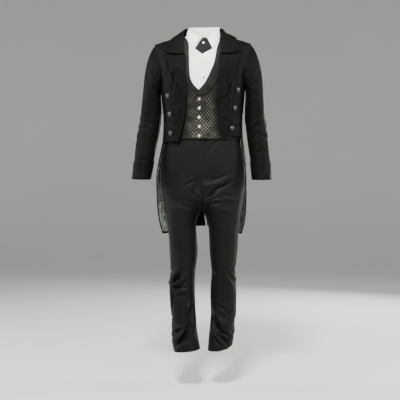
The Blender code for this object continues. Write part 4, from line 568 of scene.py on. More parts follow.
sleeveCreases = {
    "l": [
        ("front", 0.246, -0.150, 66, 0.036, 0.0070, -0.0014, 2.0),
        ("front", 0.222, -0.205, 58, 0.036, 0.0060, -0.0018, 2.0),
        ("front", 0.214, -0.262, 44, 0.030, 0.0055, -0.0018, 0.0),
        ("front", 0.256, -0.320, 84, 0.060, 0.0080, 0.0012, 0.0),
        ("front", 0.240, -0.388, 24, 0.030, 0.0055, -0.0016, 3.0),
        ("front", 0.228, -0.412, 34, 0.030, 0.0055, 0.0014, 2.0),
        ("front", 0.262, -0.430, -20, 0.028, 0.0055, -0.0012, 0.0),
        ("front", 0.264, -0.498, 6, 0.034, 0.0045, -0.0011, 0.0),
        ("front", 0.238, -0.508, 40, 0.028, 0.0055, -0.0014, 0.0),
        ("left", 0.020, -0.352, -24, 0.034, 0.0060, -0.0020, 2.0),
        ("left", 0.010, -0.392, 20, 0.034, 0.0060, -0.0018, 0.0),
        ("left", -0.012, -0.440, -18, 0.030, 0.0060, -0.0014, 0.0),
        ("back", 0.236, -0.340, 28, 0.034, 0.0060, -0.0022, 2.0),
        ("back", 0.246, -0.376, -20, 0.034, 0.0060, 0.0018, 0.0),
        ("back", 0.240, -0.404, 30, 0.032, 0.0060, -0.0022, 0.0),
        ("back", 0.240, -0.190, -52, 0.040, 0.0080, -0.0018, 0.0),
        ("right", 0.012, -0.380, 22, 0.030, 0.0060, -0.0016, 0.0),
    ],
    "r": [
        ("front", -0.246, -0.156, -66, 0.036, 0.0070, -0.0014, -2.0),
        ("front", -0.220, -0.214, -60, 0.036, 0.0060, -0.0020, -2.0),
        ("front", -0.214, -0.276, -46, 0.030, 0.0055, -0.0018, 0.0),
        ("front", -0.262, -0.330, -82, 0.060, 0.0080, 0.0012, 0.0),
        ("front", -0.236, -0.372, -22, 0.030, 0.0055, -0.0018, -3.0),
        ("front", -0.262, -0.396, 18, 0.028, 0.0055, -0.0014, 0.0),
        ("front", -0.240, -0.420, -32, 0.030, 0.0055, 0.0014, 0.0),
        ("front", -0.276, -0.470, 80, 0.040, 0.0060, -0.0012, 0.0),
        ("front", -0.268, -0.536, -8, 0.034, 0.0045, -0.0012, 0.0),
        ("right", 0.018, -0.356, 22, 0.034, 0.0060, -0.0020, -2.0),
        ("right", 0.008, -0.400, -20, 0.034, 0.0060, -0.0018, 0.0),
        ("right", -0.012, -0.446, 18, 0.030, 0.0060, -0.0014, 0.0),
        ("back", -0.238, -0.346, -26, 0.034, 0.0060, -0.0022, -2.0),
        ("back", -0.250, -0.382, 22, 0.034, 0.0060, 0.0018, 0.0),
        ("back", -0.244, -0.412, -30, 0.032, 0.0060, -0.0022, 0.0),
        ("back", -0.240, -0.196, 52, 0.040, 0.0080, -0.0018, 0.0),
        ("left", 0.012, -0.386, -20, 0.030, 0.0060, -0.0016, 0.0),
    ],
}
waistcoatCreases = [
    ("front", 0.030, -0.300, -34, 0.030, 0.0050, -0.0010, 0.0),
    ("front", -0.050, -0.310, 36, 0.030, 0.0050, -0.0010, 0.0),
    ("front", 0.040, -0.352, 16, 0.036, 0.0055, -0.0010, 0.0),
    ("front", -0.056, -0.366, -14, 0.036, 0.0055, -0.0010, 0.0),
    ("front", 0.060, -0.400, -20, 0.030, 0.0055, -0.0009, 0.0),
    ("back", 0.060, -0.300, 14, 0.060, 0.0080, -0.0014, 0.0),
    ("back", -0.060, -0.330, -12, 0.060, 0.0080, -0.0014, 0.0),
]
liningCreases = [
    ("right", 0.080, -0.700, -52, 0.022, 0.0045, -0.0030, 0.0),
    ("right", 0.094, -0.716, -46, 0.026, 0.0045, 0.0028, 0.0),
    ("right", 0.078, -0.732, -56, 0.024, 0.0040, -0.0032, 2.0),
    ("right", 0.098, -0.752, -34, 0.026, 0.0040, 0.0030, 0.0),
    ("right", 0.086, -0.768, -44, 0.024, 0.0040, -0.0034, 0.0),
    ("right", 0.104, -0.786, -30, 0.026, 0.0040, 0.0030, 0.0),
    ("right", 0.090, -0.806, -48, 0.024, 0.0040, -0.0030, 0.0),
    ("right", 0.108, -0.824, -36, 0.026, 0.0040, -0.0028, 0.0),
    ("right", 0.070, -0.640, -66, 0.030, 0.0050, -0.0024, 0.0),
    ("right", 0.062, -0.590, -72, 0.030, 0.0050, 0.0022, 0.0),
    ("left", 0.084, -0.706, 50, 0.024, 0.0045, -0.0030, 0.0),
    ("left", 0.096, -0.730, 40, 0.026, 0.0045, 0.0028, 0.0),
    ("left", 0.082, -0.752, 52, 0.024, 0.0040, -0.0030, 0.0),
    ("left", 0.100, -0.776, 34, 0.026, 0.0040, 0.0028, 0.0),
    ("left", 0.090, -0.800, 46, 0.024, 0.0040, -0.0030, 0.0),
    ("left", 0.068, -0.630, 68, 0.030, 0.0050, -0.0022, 0.0),
    ("back", 0.120, -0.640, 60, 0.040, 0.0060, -0.0022, 0.0),
    ("back", -0.120, -0.660, -60, 0.040, 0.0060, -0.0022, 0.0),
    ("back", 0.100, -0.740, 40, 0.040, 0.0060, 0.0020, 0.0),
    ("back", -0.104, -0.760, -40, 0.040, 0.0060, 0.0020, 0.0),
    ("back", 0.124, -0.800, 30, 0.036, 0.0055, -0.0022, 0.0),
    ("back", -0.120, -0.806, -30, 0.036, 0.0055, -0.0022, 0.0),
]
viewAxes = {"front": (0, 1, -1.0), "back": (0, 1, 1.0), "left": (1, 0, 1.0), "right": (1, 0, -1.0)}

# Middle lines of the limbs: heights going down, then x and y of the middle
armLine = {
    "l": ((-0.63, 0.260, -0.026), (-0.46, 0.245, 0.002), (-0.345, 0.232, 0.011),
          (-0.262, 0.230, 0.006), (-0.12, 0.214, 0.004), (0.0, 0.190, 0.004)),
    "r": ((-0.63, -0.2735, -0.030), (-0.46, -0.252, -0.002), (-0.345, -0.2345, 0.009),
          (-0.262, -0.230, 0.006), (-0.12, -0.214, 0.004), (0.0, -0.190, 0.004)),
}
legLine = {
    "l": ((-1.39, 0.070, -0.010), (-1.15, 0.0905, -0.004), (-0.92, 0.0915, -0.006),
          (-0.765, 0.087, -0.002), (-0.66, 0.040, 0.0), (-0.54, 0.012, 0.0), (-0.40, 0.0, 0.0)),
    "r": ((-1.39, -0.064, -0.038), (-1.15, -0.088, -0.027), (-0.92, -0.0845, -0.018),
          (-0.765, -0.092, -0.006), (-0.66, -0.040, 0.0), (-0.54, -0.012, 0.0), (-0.40, 0.0, 0.0)),
}
bodyLine = ((-0.90, 0.0, 0.02), (-0.45, 0.0, 0.0), (0.08, 0.0, 0.0))

# What each kind of garment does: its middle line, depth over width, how high the outward side turns
# up, its creases with how strongly and widely they fold, how far its seams close, and the height and
# stretch of its slow unevenness. A lining also names the cloth it lies behind and its slack.
garments = {
    "coat": {"line": bodyLine, "flatness": 0.62, "top": -0.07, "creases": coatCreases, "fold": 2.0,
             "wide": 1.1, "seam": 0.0003, "uneven": 0.0014, "scale": (16, 16, 9)},
    "lining": {"line": bodyLine, "flatness": 0.62, "top": -0.07, "creases": liningCreases, "fold": 2.3,
               "wide": 1.4, "seam": 0.0, "uneven": 0.0020, "scale": (42, 42, 30), "behind": "coat",
               "slack": 0.0012},
    "waistcoat": {"line": bodyLine, "flatness": 0.66, "top": -0.05, "creases": waistcoatCreases, "fold": 1.5,
                  "wide": 1.0, "seam": 0.0002, "uneven": 0.0005, "scale": (24, 24, 16)},
    "shirt": {"line": bodyLine, "flatness": 0.66, "top": -0.04, "creases": [], "fold": 1.0, "wide": 1.0,
              "seam": 0.0005, "uneven": 0.0004, "scale": (26, 26, 18)},
    "plain": {"line": bodyLine, "flatness": 0.66, "top": 1.0, "creases": [], "fold": 1.0, "wide": 1.0,
              "seam": 0.0005, "uneven": 0.0, "scale": (1, 1, 1)},
}
for side in sides:
    garments["arm_" + side] = {"line": armLine[side], "flatness": 1.2, "top": -0.10,
                               "creases": sleeveCreases[side], "fold": 2.0, "wide": 1.2, "seam": 0.0003,
                               "uneven": 0.0016, "scale": (18, 18, 8)}
    garments["leg_" + side] = {"line": legLine[side], "flatness": 0.85, "top": 1.0,
                               "creases": trouserCreases[side], "fold": 2.3, "wide": 1.25, "seam": 0.0003,
                               "uneven": 0.0015, "scale": (17, 17, 8)}

# Shape of every crease: how far round it is seen, how its width wavers, and the lip beside its hollow
foldLooks = {"seenFrom": 0.10, "seenTo": 0.55, "waver": 0.35, "waverPitch": 70.0, "lip": 0.38,
             "lipAt": 1.9, "lipWidth": 1.1}
# How the outward side turns up at a garment's top, and the second, quicker unevenness over the slow one
topTurn = {"height": 0.07, "up": 0.22}
quickUneven = {"scale": 2.7, "offset": 5.0, "share": 0.35}
# Where two pieces with different creases meet, both are calm: round the armholes and along the seat seam
calm = {"sewn": 0.004, "armholeNear": 0.006, "armholeFar": 0.045, "armholeLow": -0.235, "seatNear": 0.0,
        "seatFar": 0.014}
coatBodyNodes = ("coat_front_", "coat_side_", "coat_back_")
tiny = 1e-6  # metres: below it a length counts as none


def softStep(value, low, high):
    share = np.clip((value - low) / (high - low), 0.0, 1.0)
    return share * share * (3.0 - 2.0 * share)


def outwardOf(garment, points):
    line = np.array(garments[garment]["line"])
    centre = np.stack([np.interp(points[:, 2], line[:, 0], line[:, column]) for column in (1, 2)], axis=1)
    away = np.zeros_like(points)
    away[:, 0] = points[:, 0] - centre[:, 0]
    away[:, 1] = (points[:, 1] - centre[:, 1]) / garments[garment]["flatness"] ** 2
    top = garments[garment]["top"]
    away[:, 2] = softStep(points[:, 2], top, top + topTurn["height"]) * topTurn["up"]
    return away / np.maximum(np.linalg.norm(away, axis=1), tiny)[:, None]


def creaseHeight(garment, points, outward):
    total = np.zeros(len(points))
    for row in garments[garment]["creases"]:
        crease = dict(zip(creaseColumns, row))
        acrossAxis, facingAxis, sign = viewAxes[crease["view"]]
        seen = softStep(outward[:, facingAxis] * sign, foldLooks["seenFrom"], foldLooks["seenTo"])
        across = points[:, acrossAxis] - crease["across"]
        up = points[:, 2] - crease["height"]
        slope = math.radians(crease["slope"])
        along = across * math.cos(slope) + up * math.sin(slope)
        off = -across * math.sin(slope) + up * math.cos(slope) + crease["bend"] * along ** 2
        waver = 1.0 + foldLooks["waver"] * np.sin(along * foldLooks["waverPitch"])
        width = crease["width"] * garments[garment]["wide"] * waver
        hollow = np.exp(-(off / width) ** 2)
        lip = np.exp(-((off - foldLooks["lipAt"] * width) / (foldLooks["lipWidth"] * width)) ** 2)
        fade = np.exp(-(along / crease["length"]) ** 2)
        total += crease["depth"] * (hollow - foldLooks["lip"] * lip) * fade * seen
    return total


def unevenHeight(garment, points):
    looks = garments[garment]
    if not looks["uneven"]:
        return np.zeros(len(points))
    scaled = points * np.array(looks["scale"])
    slow = np.array([noise.noise(Vector(spot)) for spot in scaled.tolist()])
    quicker = scaled * quickUneven["scale"] + quickUneven["offset"]
    quick = np.array([noise.noise(Vector(spot)) for spot in quicker.tolist()])
    return looks["uneven"] * (slow + quickUneven["share"] * quick)


def armholeTree():
    # the points at which the sleeves are sewn to the coat
    coat, seam = [], []
    for side in sides:
        for node in coatBodyNodes:
            coat += [vertex.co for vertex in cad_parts[node + side].data.vertices]
    near = kdtree.KDTree(len(coat))
    for index, spot in enumerate(coat):
        near.insert(spot, index)
    near.balance()
    for side in sides:
        for node in ("sleeve_top_", "sleeve_under_"):
            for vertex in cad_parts[node + side].data.vertices:
                if vertex.co.z > calm["armholeLow"] and near.find(vertex.co)[2] < calm["sewn"]:
                    seam.append(vertex.co)
    tree = kdtree.KDTree(len(seam))
    for index, spot in enumerate(seam):
        tree.insert(spot, index)
    tree.balance()
    return tree


armholes = armholeTree()


def calmShare(garment, points):
    if garment == "coat" or garment.startswith("arm"):
        away = np.array([armholes.find(Vector(spot))[2] for spot in points.tolist()])
        return softStep(away, calm["armholeNear"], calm["armholeFar"])
    if garment.startswith("leg"):
        return softStep(np.abs(points[:, 0]), calm["seatNear"], calm["seatFar"])
    return np.ones(len(points))


def shiftOf(garment, points):
    outward = outwardOf(garment, points)
    folds = creaseHeight(garment, points, outward) * garments[garment]["fold"]
    height = (folds + unevenHeight(garment, points)) * calmShare(garment, points)
    if "behind" in garments[garment]:
        # a lining goes with the cloth that it lines, and its own folds stand away from it
        height = np.minimum(height - garments[garment]["slack"], 0.0)
        return outward * height[:, None] + shiftOf(garments[garment]["behind"], points)
    return outward * height[:, None]


# Shells: each cloth node's form, smoothed and creased, with rounded rims

def readPoints(mesh):
    flat = np.empty(len(mesh.vertices) * 3)
    mesh.vertices.foreach_get("co", flat)
    return flat.reshape(-1, 3)


def writePoints(mesh, points):
    mesh.vertices.foreach_set("co", points.astype(np.float32).ravel())
    mesh.update()


def onlySelect(piece):
    bpy.ops.object.select_all(action="DESELECT")
    piece.select_set(True)
    bpy.context.view_layer.objects.active = piece


def copyOfNode(node, name):
    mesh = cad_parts[node].data.copy()
    mesh.name = name
    piece = bpy.data.objects.new(name, mesh)
    bpy.context.scene.collection.objects.link(piece)
    mesh.materials.clear()
    return piece


# Merging distance, angle from which an edge is a rim, how far the joined quads may bend and warp and how
# much a straight grid counts, a rim's greatest area over its sheet's, how often the smoothed surface is
# pulled back, and how steep an edge is that a tube is slit along
panelLooks = {"merge": 1e-5, "rimAngle": 40.0, "bend": 75.0, "warp": 180.0, "straight": 1.6,
              "rimShare": 0.3, "pulls": 2, "upright": 0.7}
# Rounded rims: segments, angle from which they are rounded, and angle up to which they are shaded smooth
rimLooks = {"segments": 2, "from": 48, "smooth": 55}


def quadPanel(piece):
    # the node's triangles become the grid of the cut piece again, its rims creased
    work = bmesh.new()
    work.from_mesh(piece.data)
    bmesh.ops.remove_doubles(work, verts=work.verts, dist=panelLooks["merge"])
    bmesh.ops.join_triangles(work, faces=work.faces, angle_face_threshold=math.radians(panelLooks["bend"]),
                             angle_shape_threshold=math.radians(panelLooks["warp"]),
                             topology_influence=panelLooks["straight"])
    creases = work.edges.layers.float.new("crease_edge")
    for edge in work.edges:
        turned = edge.calc_face_angle(0.0) > math.radians(panelLooks["rimAngle"])
        edge[creases] = 1.0 if turned else 0.0
        edge.seam = turned
    work.to_mesh(piece.data)
    work.free()
    piece.data.update()


def dropOldLooks(piece):
    onlySelect(piece)
    bpy.ops.mesh.customdata_custom_splitnormals_clear()
    while piece.data.uv_layers:
        piece.data.uv_layers.remove(piece.data.uv_layers[0])


def smallestBox(flat):
    # width and length of the smallest oblong that holds the flat cut, as a cutter would lay it
    best = None
    for degrees in range(0, 90, 2):
        turn = math.radians(degrees)
        spin = np.array([[math.cos(turn), -math.sin(turn)], [math.sin(turn), math.cos(turn)]])
        turned = flat @ spin.T
        size = sorted(turned.max(axis=0) - turned.min(axis=0))
        if best is None or size[0] * size[1] < best[0] * best[1]:
            best = size
    return best


def islandsOf(work):
    # the sheets and rims of a piece, parted by its seams, the largest first
    left, islands = set(work.faces), []
    while left:
        start = left.pop()
        island, waiting = [start], [start]
        while waiting:
            for edge in waiting.pop().edges:
                if edge.seam:
                    continue
                for other in edge.link_faces:
                    if other in left:
                        left.discard(other)
                        island.append(other)
                        waiting.append(other)
        islands.append(island)
    return sorted(islands, key=lambda island: -sum(face.calc_area() for face in island))


def openTube(piece, garment, towards):
    # a tube is slit along its least seen line, outside and inside, so that it can be laid flat
    work = bmesh.new()
    work.from_mesh(piece.data)

    def upright(edge):
        first, second = (vertex.co for vertex in edge.verts)
        steep = abs(second.z - first.z) > panelLooks["upright"] * (second - first).length
        return not edge.seam and steep

    for island in islandsOf(work)[:2]:
        edges = [edge for edge in {edge for face in island for edge in face.edges} if upright(edge)]
        middles = np.array([(edge.verts[0].co + edge.verts[1].co) / 2 for edge in edges])
        start = edges[int(np.argmax(outwardOf(garment, middles)[:, :2] @ np.array(towards)))]
        slit = {start}
        for corner in start.verts:
            edge = start
            while edge:
                beside = set(edge.link_faces)
                further = [other for other in corner.link_edges if other not in slit and upright(other)
                           and not beside & set(other.link_faces)]
                edge = further[0] if further else None
                if edge:
                    slit.add(edge)
                    corner = edge.other_vert(corner)
        for edge in slit:
            edge.seam = True
    work.to_mesh(piece.data)
    work.free()


def layFlat(piece):
    # the flat cut: each side of the wall is laid out at real size, its warp along the piece's height
    piece.data.uv_layers.new(name="cloth")
    onlySelect(piece)
    bpy.ops.object.mode_set(mode="EDIT")
    bpy.ops.mesh.select_all(action="SELECT")
    bpy.ops.uv.unwrap(method="ANGLE_BASED", margin=0.0)
    bpy.ops.object.mode_set(mode="OBJECT")
    work = bmesh.new()
    work.from_mesh(piece.data)
    layer = work.loops.layers.uv["cloth"]
    cut = (0.0, 0.0, 0.0)
    for island in islandsOf(work):
        loops = [loop for face in island for loop in face.loops]
        flat = np.array([loop[layer].uv[:] for loop in loops])
        solid = np.array([loop.vert.co[:] for loop in loops])
        area = sum(face.calc_area() for face in island)
        flatArea = 0.0
        for face in island:
            ring = [loop[layer].uv for loop in face.loops]
            flatArea += abs(sum(a.x * b.y - b.x * a.y for a, b in zip(ring, ring[1:] + ring[:1]))) / 2
        size = math.sqrt(area / flatArea) if flatArea > 1e-12 else 1.0
        flat = (flat - flat.mean(axis=0)) * size
        slope = np.linalg.lstsq(flat, solid[:, 2] - solid[:, 2].mean(), rcond=None)[0]
        turn = math.atan2(slope[0], slope[1])  # brings the upward direction onto the second axis
        spin = np.array([[math.cos(turn), -math.sin(turn)], [math.sin(turn), math.cos(turn)]])
        for loop, spot in zip(loops, flat @ spin.T):
            loop[layer].uv = spot
        if not cut[2]:
            # a sheet whose rims weren't parted from it counts as half of the whole surface
            half = sum(face.calc_area() for face in work.faces) / 2
            cut = (*smallestBox(flat), min(area, half))
        if area < panelLooks["rimShare"] * cut[2]:
            for face in island:
                face.material_index = 1  # marks the rims until the piece is finished
    work.to_mesh(piece.data)
    work.free()
    return cut


def smoothPanel(piece, levels):
    # the subdivided surface is pulled back through the frame's own points, so that no size is lost
    curve = piece.modifiers.new("smooth", "SUBSURF")
    curve.levels = levels
    curve.render_levels = levels
    curve.uv_smooth = "PRESERVE_BOUNDARIES"
    goal = readPoints(piece.data)
    control = goal.copy()
    for _ in range(panelLooks["pulls"]):
        bpy.context.view_layer.update()
        seen = piece.evaluated_get(bpy.context.evaluated_depsgraph_get()).to_mesh()
        control += goal - readPoints(seen)[:len(goal)]
        piece.evaluated_get(bpy.context.evaluated_depsgraph_get()).to_mesh_clear()
        writePoints(piece.data, control)
    onlySelect(piece)
    bpy.ops.object.modifier_apply(modifier="smooth")


def roundRims(piece, width):
    rims = piece.modifiers.new("rims", "BEVEL")
    rims.width = width
    rims.segments = rimLooks["segments"]
    rims.limit_method = "ANGLE"
    rims.angle_limit = math.radians(rimLooks["from"])
    onlySelect(piece)
    bpy.ops.object.modifier_apply(modifier="rims")
    bpy.ops.object.shade_smooth_by_angle(angle=math.radians(rimLooks["smooth"]))


def closeSeams(piece, points, amount):
    # the rims move a hair outward, so that sewn pieces touch; gives the rims' points and directions too
    writePoints(piece.data, points)
    push = np.zeros_like(points)
    for face in piece.data.polygons:
        if face.material_index:
            push[list(face.vertices)] += face.normal
    size = np.linalg.norm(push, axis=1)
    rim = size > tiny
    push[rim] /= size[rim][:, None]
    return points + push * amount, rim, push


# How near a sleeve's edge must be to the coat to be sewn to it, how far it laps over, and how far from
# the seam the sleeve gives way
sewing = {"reach": 0.009, "overlap": 0.0004, "give": 0.040}


def sewSleeve(side, points, rim):
    coat = [shells[node + side] for node in coatBodyNodes]
    corners, faces = [], []
    for piece in coat:
        start = len(corners)
        corners += [Vector(spot) for spot in rimPoints[piece.name]]
        faces += [[start + index for index in face] for face in rimFaces[piece.name]]
    tree = BVHTree.FromPolygons(corners, faces)
    edge, moves = [], []
    for index in np.nonzero(rim)[0]:
        spot = Vector(points[index])
        if spot.z < calm["armholeLow"] or armholes.find(spot)[2] > sewing["reach"]:
            continue
        hit, _, _, distance = tree.find_nearest(spot, sewing["reach"])
        if hit is None or distance < tiny:
            continue
        edge.append(spot)
        moves.append((hit - spot) * (1.0 + sewing["overlap"] / distance))
    near = kdtree.KDTree(len(edge))
    for index, spot in enumerate(edge):
        near.insert(spot, index)
    near.balance()
    sewn = points.copy()
    for index, spot in enumerate(points):
        _, place, distance = near.find(Vector(spot))
        share = 1.0 - float(softStep(distance, 0.0, sewing["give"]))
        if share > 0.0:
            sewn[index] += np.array(moves[place]) * share
    return sewn


# What only some pieces do: the lapels stand off at their outer edge, the shirt front is tucked, the
# slit between the tails hangs aslant
lapelLift = {"height": 0.0060, "start": 0.50, "top": -0.048, "fade": 0.020, "row": 0.01, "narrowest": 0.03}
shirtTucks = {"pitch": 0.0135, "height": 0.0013, "steep": 0.84, "top": -0.050, "fade": 0.020}
ventLooks = {"shift": 0.009, "near": 0.020, "far": 0.070, "start": 0.54, "end": 0.74, "shut": 0.0065,
             "hemStart": 0.780, "hem": 0.825, "edgeNear": 0.004, "edgeFar": 0.030}


def liftLapel(points, outward):
    levels = np.round(points[:, 2] / lapelLift["row"])
    across = np.abs(points[:, 0])
    share = np.zeros(len(points))
    for level in np.unique(levels):
        row = levels == level
        low, high = across[row].min(), across[row].max()
        share[row] = (across[row] - low) / max(high - low, lapelLift["narrowest"])
    below = softStep(lapelLift["top"] - points[:, 2], 0.0, lapelLift["fade"])
    rise = softStep(share, lapelLift["start"], 1.0) * below
    return points + outward * (rise * lapelLift["height"])[:, None]


def tuckShirt(points, outward):
    place = points[:, 0] / shirtTucks["pitch"]
    place = place - np.floor(place)
    ridge = softStep(place, 0.0, shirtTucks["steep"]) * (1.0 - softStep(place, shirtTucks["steep"], 1.0))
    ridge *= softStep(shirtTucks["top"] - points[:, 2], 0.0, shirtTucks["fade"])
    return points + outward * (ridge * shirtTucks["height"])[:, None]


def hangVent(points, _):
    # below the waist the slit between the tails hangs to the wearer's left and shuts at the hem
    across, drop = points[:, 0], -points[:, 2]
    near = 1.0 - softStep(np.abs(across), ventLooks["near"], ventLooks["far"])
    shift = ventLooks["shift"] * softStep(drop, ventLooks["start"], ventLooks["end"]) * near
    rightEdge = (across < 0.0) * (1.0 - softStep(-across, ventLooks["edgeNear"], ventLooks["edgeFar"]))
    shift += ventLooks["shut"] * softStep(drop, ventLooks["hemStart"], ventLooks["hem"]) * rightEdge
    moved = points.copy()
    moved[:, 0] += shift
    return moved


extras = {"lapel": liftLapel, "shirt_front": tuckShirt, "coat_back": hangVent, "tail_skirt": hangVent,
          "tail_lining": hangVent}
# Tubes, with the direction of the side that is least seen
tubes = {"cuff_l": (-0.5, 0.85), "cuff_r": (0.5, 0.85), "trouser_waistband": (0.0, 1.0)}
shortestLine = 8  # points: an edge line with fewer is left unstitched


def outerEdges(piece, push, outward):
    # the edge lines of the outer sheet, with the way out of the sheet, for the stitching
    mesh = piece.data
    facing = {}
    for face in mesh.polygons:
        if not face.material_index and np.dot(face.normal, outward[face.vertices[0]]) > 0.0:
            for key in face.edge_keys:
                facing[key] = facing.get(key, 0) + 1
    links = {}
    for first, second in (key for key, count in facing.items() if count == 1):
        links.setdefault(first, []).append(second)
        links.setdefault(second, []).append(first)
    points, lines, left = readPoints(mesh), [], set(links)
    while left:
        line = [left.pop()]
        while True:
            ahead = [index for index in links[line[-1]] if index in left]
            if not ahead:
                break
            left.discard(ahead[0])
            line.append(ahead[0])
        if len(line) > shortestLine:
            lines.append((points[line], push[line]))
    return lines


def shell(node, slot, garment, levels, rimWidth):
    name = node + "_cloth"
    piece = copyOfNode(node, name)
    for _ in range(2):
        piece.data.materials.append(finishes[slot])
    dropOldLooks(piece)
    quadPanel(piece)
    if node in tubes:
        openTube(piece, garment, tubes[node])
    cut = layFlat(piece)
    smoothPanel(piece, levels)
    points = readPoints(piece.data)
    outward = outwardOf(garment, points)
    points = points + shiftOf(garment, points)
    if node[:-2] in extras:
        points = extras[node[:-2]](points, outward)
    points, rim, push = closeSeams(piece, points, garments[garment]["seam"])
    if node.startswith("sleeve"):
        points = sewSleeve(node[-1], points, rim)
    writePoints(piece.data, points)
    rimPoints[name] = points
    rimFaces[name] = [list(face.vertices) for face in piece.data.polygons if face.material_index]
    edgeLines[node] = outerEdges(piece, push, outward)
    piece.data.polygons.foreach_set("material_index", [0] * len(piece.data.polygons))
    piece.data.materials.pop()
    roundRims(piece, rimWidth)
    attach(piece, body)
    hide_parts(node)
    flats[name] = cut
    shells[node] = piece


shells = {}
flats = {}
rimPoints = {}
rimFaces = {}
edgeLines = {}

# Cloth pieces: node, finish, garment it belongs to, subdivisions and width of its rounded rims
clothTable = [
    ("coat_front", "coat_wool", "coat", 3, 0.0007),
    ("coat_side", "coat_wool", "coat", 3, 0.0004),
    ("coat_back", "coat_wool", "coat", 2, 0.0004),
    ("tail_skirt", "coat_wool", "coat", 3, 0.0006),
    ("lapel", "coat_wool", "coat", 2, 0.0007),
    ("sleeve_top", "coat_wool", "arm", 3, 0.0004),
    ("sleeve_under", "coat_wool", "arm", 2, 0.0004),
    ("cuff", "coat_wool", "arm", 3, 0.0005),
    ("tail_lining", "satin_lining", "lining", 3, 0.0002),
    ("waistcoat_front", "brocade", "waistcoat", 2, 0.0005),
    ("waistcoat_back", "waistcoat_back", "waistcoat", 2, 0.0004),
    ("waistcoat_collar", "brocade", "waistcoat", 2, 0.0005),
    ("shirt_front", "shirt_cotton", "shirt", 4, 0.0003),
    ("collar_leaf", "shirt_cotton", "plain", 2, 0.0003),
    ("trouser_front", "trouser_wool", "leg", 3, 0.0004),
    ("trouser_back", "trouser_wool", "leg", 3, 0.0004),
    ("braid", "braid", "leg", 2, 0.0002),
    ("pocket_edge", "trouser_wool", "leg", 3, 0.0003),
]
singleTable = [
    ("coat_collar", "coat_wool", "coat", 2, 0.0007),
    ("coat_collar_stand", "coat_wool", "coat", 2, 0.0005),
    ("shirt_yoke", "shirt_cotton", "plain", 2, 0.0003),
    ("shirt_placket", "shirt_cotton", "shirt", 2, 0.0002),
    ("collar_stand", "shirt_cotton", "plain", 2, 0.0003),
    ("tie", "tie_silk", "plain", 2, 0.0004),
    ("trouser_waistband", "trouser_wool", "plain", 2, 0.0005),
]

for row in clothTable:
    for side in sides:
        kind = row[2] + "_" + side if row[2] in ("arm", "leg") else row[2]
        shell(row[0] + "_" + side, row[1], kind, row[3], row[4])
    print("cloth made:", row[0])
for row in singleTable:
    shell(*row)
print("single pieces made:", len(singleTable))


# Turned pieces: buttons, stud and pin, grown ring by ring as on a lathe
turnedSmooth = 38  # degrees up to which a turned edge is shaded smooth


def turnedPiece(name, rings, corners, closed=True):
    bpy.ops.object.select_all(action="DESELECT")
    radius, height = rings[0]
    bpy.ops.mesh.primitive_circle_add(vertices=corners, radius=radius, fill_type="NGON",
                                      location=(0.0, 0.0, height))
    piece = bpy.context.active_object
    piece.name = name
    bpy.ops.object.transform_apply(location=True, rotation=True, scale=True)
    bpy.ops.object.mode_set(mode="EDIT")
    bpy.ops.mesh.select_all(action="SELECT")
    if not closed:
        bpy.ops.mesh.select_mode(type="EDGE")
        bpy.ops.mesh.region_to_loop()
    for nextRadius, nextHeight in rings[1:]:
        move = {"value": (0.0, 0.0, nextHeight - height)}
        if closed:
            bpy.ops.mesh.extrude_region_move(TRANSFORM_OT_translate=move)
        else:
            bpy.ops.mesh.extrude_edges_move(TRANSFORM_OT_translate=move)
        share = nextRadius / radius
        bpy.ops.transform.resize(value=(share, share, 1.0), center_override=(0.0, 0.0, nextHeight))
        radius, height = nextRadius, nextHeight
    if closed:
        bpy.ops.mesh.merge(type="CENTER")
        bpy.ops.mesh.select_all(action="SELECT")
        bpy.ops.mesh.normals_make_consistent(inside=False)
    bpy.ops.mesh.select_mode(type="VERT")
    bpy.ops.object.mode_set(mode="OBJECT")
    bpy.ops.object.shade_smooth_by_angle(angle=math.radians(turnedSmooth))
    return piece


# Rings of each kind: radius and height as shares of the frame's button
buttonLooks = {
    "coat": {"corners": 40, "rings": (
        (0.74, 0.0), (0.90, 0.05), (0.985, 0.20), (1.0, 0.34), (0.985, 0.46), (0.93, 0.54), (0.87, 0.52),
        (0.83, 0.50), (0.80, 0.55), (0.74, 0.68), (0.62, 0.81), (0.46, 0.91), (0.30, 0.97), (0.14, 0.995),
        (0.03, 1.0))},
    "waistcoat": {"corners": 32, "rings": (
        (0.70, 0.0), (0.92, 0.08), (1.0, 0.28), (0.98, 0.44), (0.90, 0.52), (0.80, 0.47), (0.74, 0.50),
        (0.70, 0.64), (0.56, 0.82), (0.38, 0.94), (0.18, 0.99), (0.04, 1.0))},
    "stud": {"corners": 24, "rings": (
        (0.80, 0.0), (1.0, 0.22), (0.96, 0.46), (0.84, 0.55), (0.78, 0.52), (0.66, 0.74), (0.42, 0.92),
        (0.20, 0.99), (0.04, 1.0))},
    "pearl": {"corners": 32, "rings": (
        (0.62, 0.0), (0.74, 0.03), (0.78, 0.10), (0.74, 0.16), (0.90, 0.24), (0.985, 0.38), (1.0, 0.50),
        (0.96, 0.64), (0.86, 0.78), (0.68, 0.89), (0.46, 0.96), (0.24, 0.99), (0.05, 1.0))},
}
buttonNodes = {"coat": ["coat_button_%s%d" % (side, place) for side in "lr" for place in (1, 2, 3)]
               + ["waist_button_l", "waist_button_r"],
               "waistcoat": ["waistcoat_button_%d" % place for place in range(1, 6)],
               "stud": ["shirt_stud"], "pearl": ["tie_pin"]}
buttonSlots = {"coat": "horn", "waistcoat": "silver", "stud": "stud", "pearl": "pearl"}


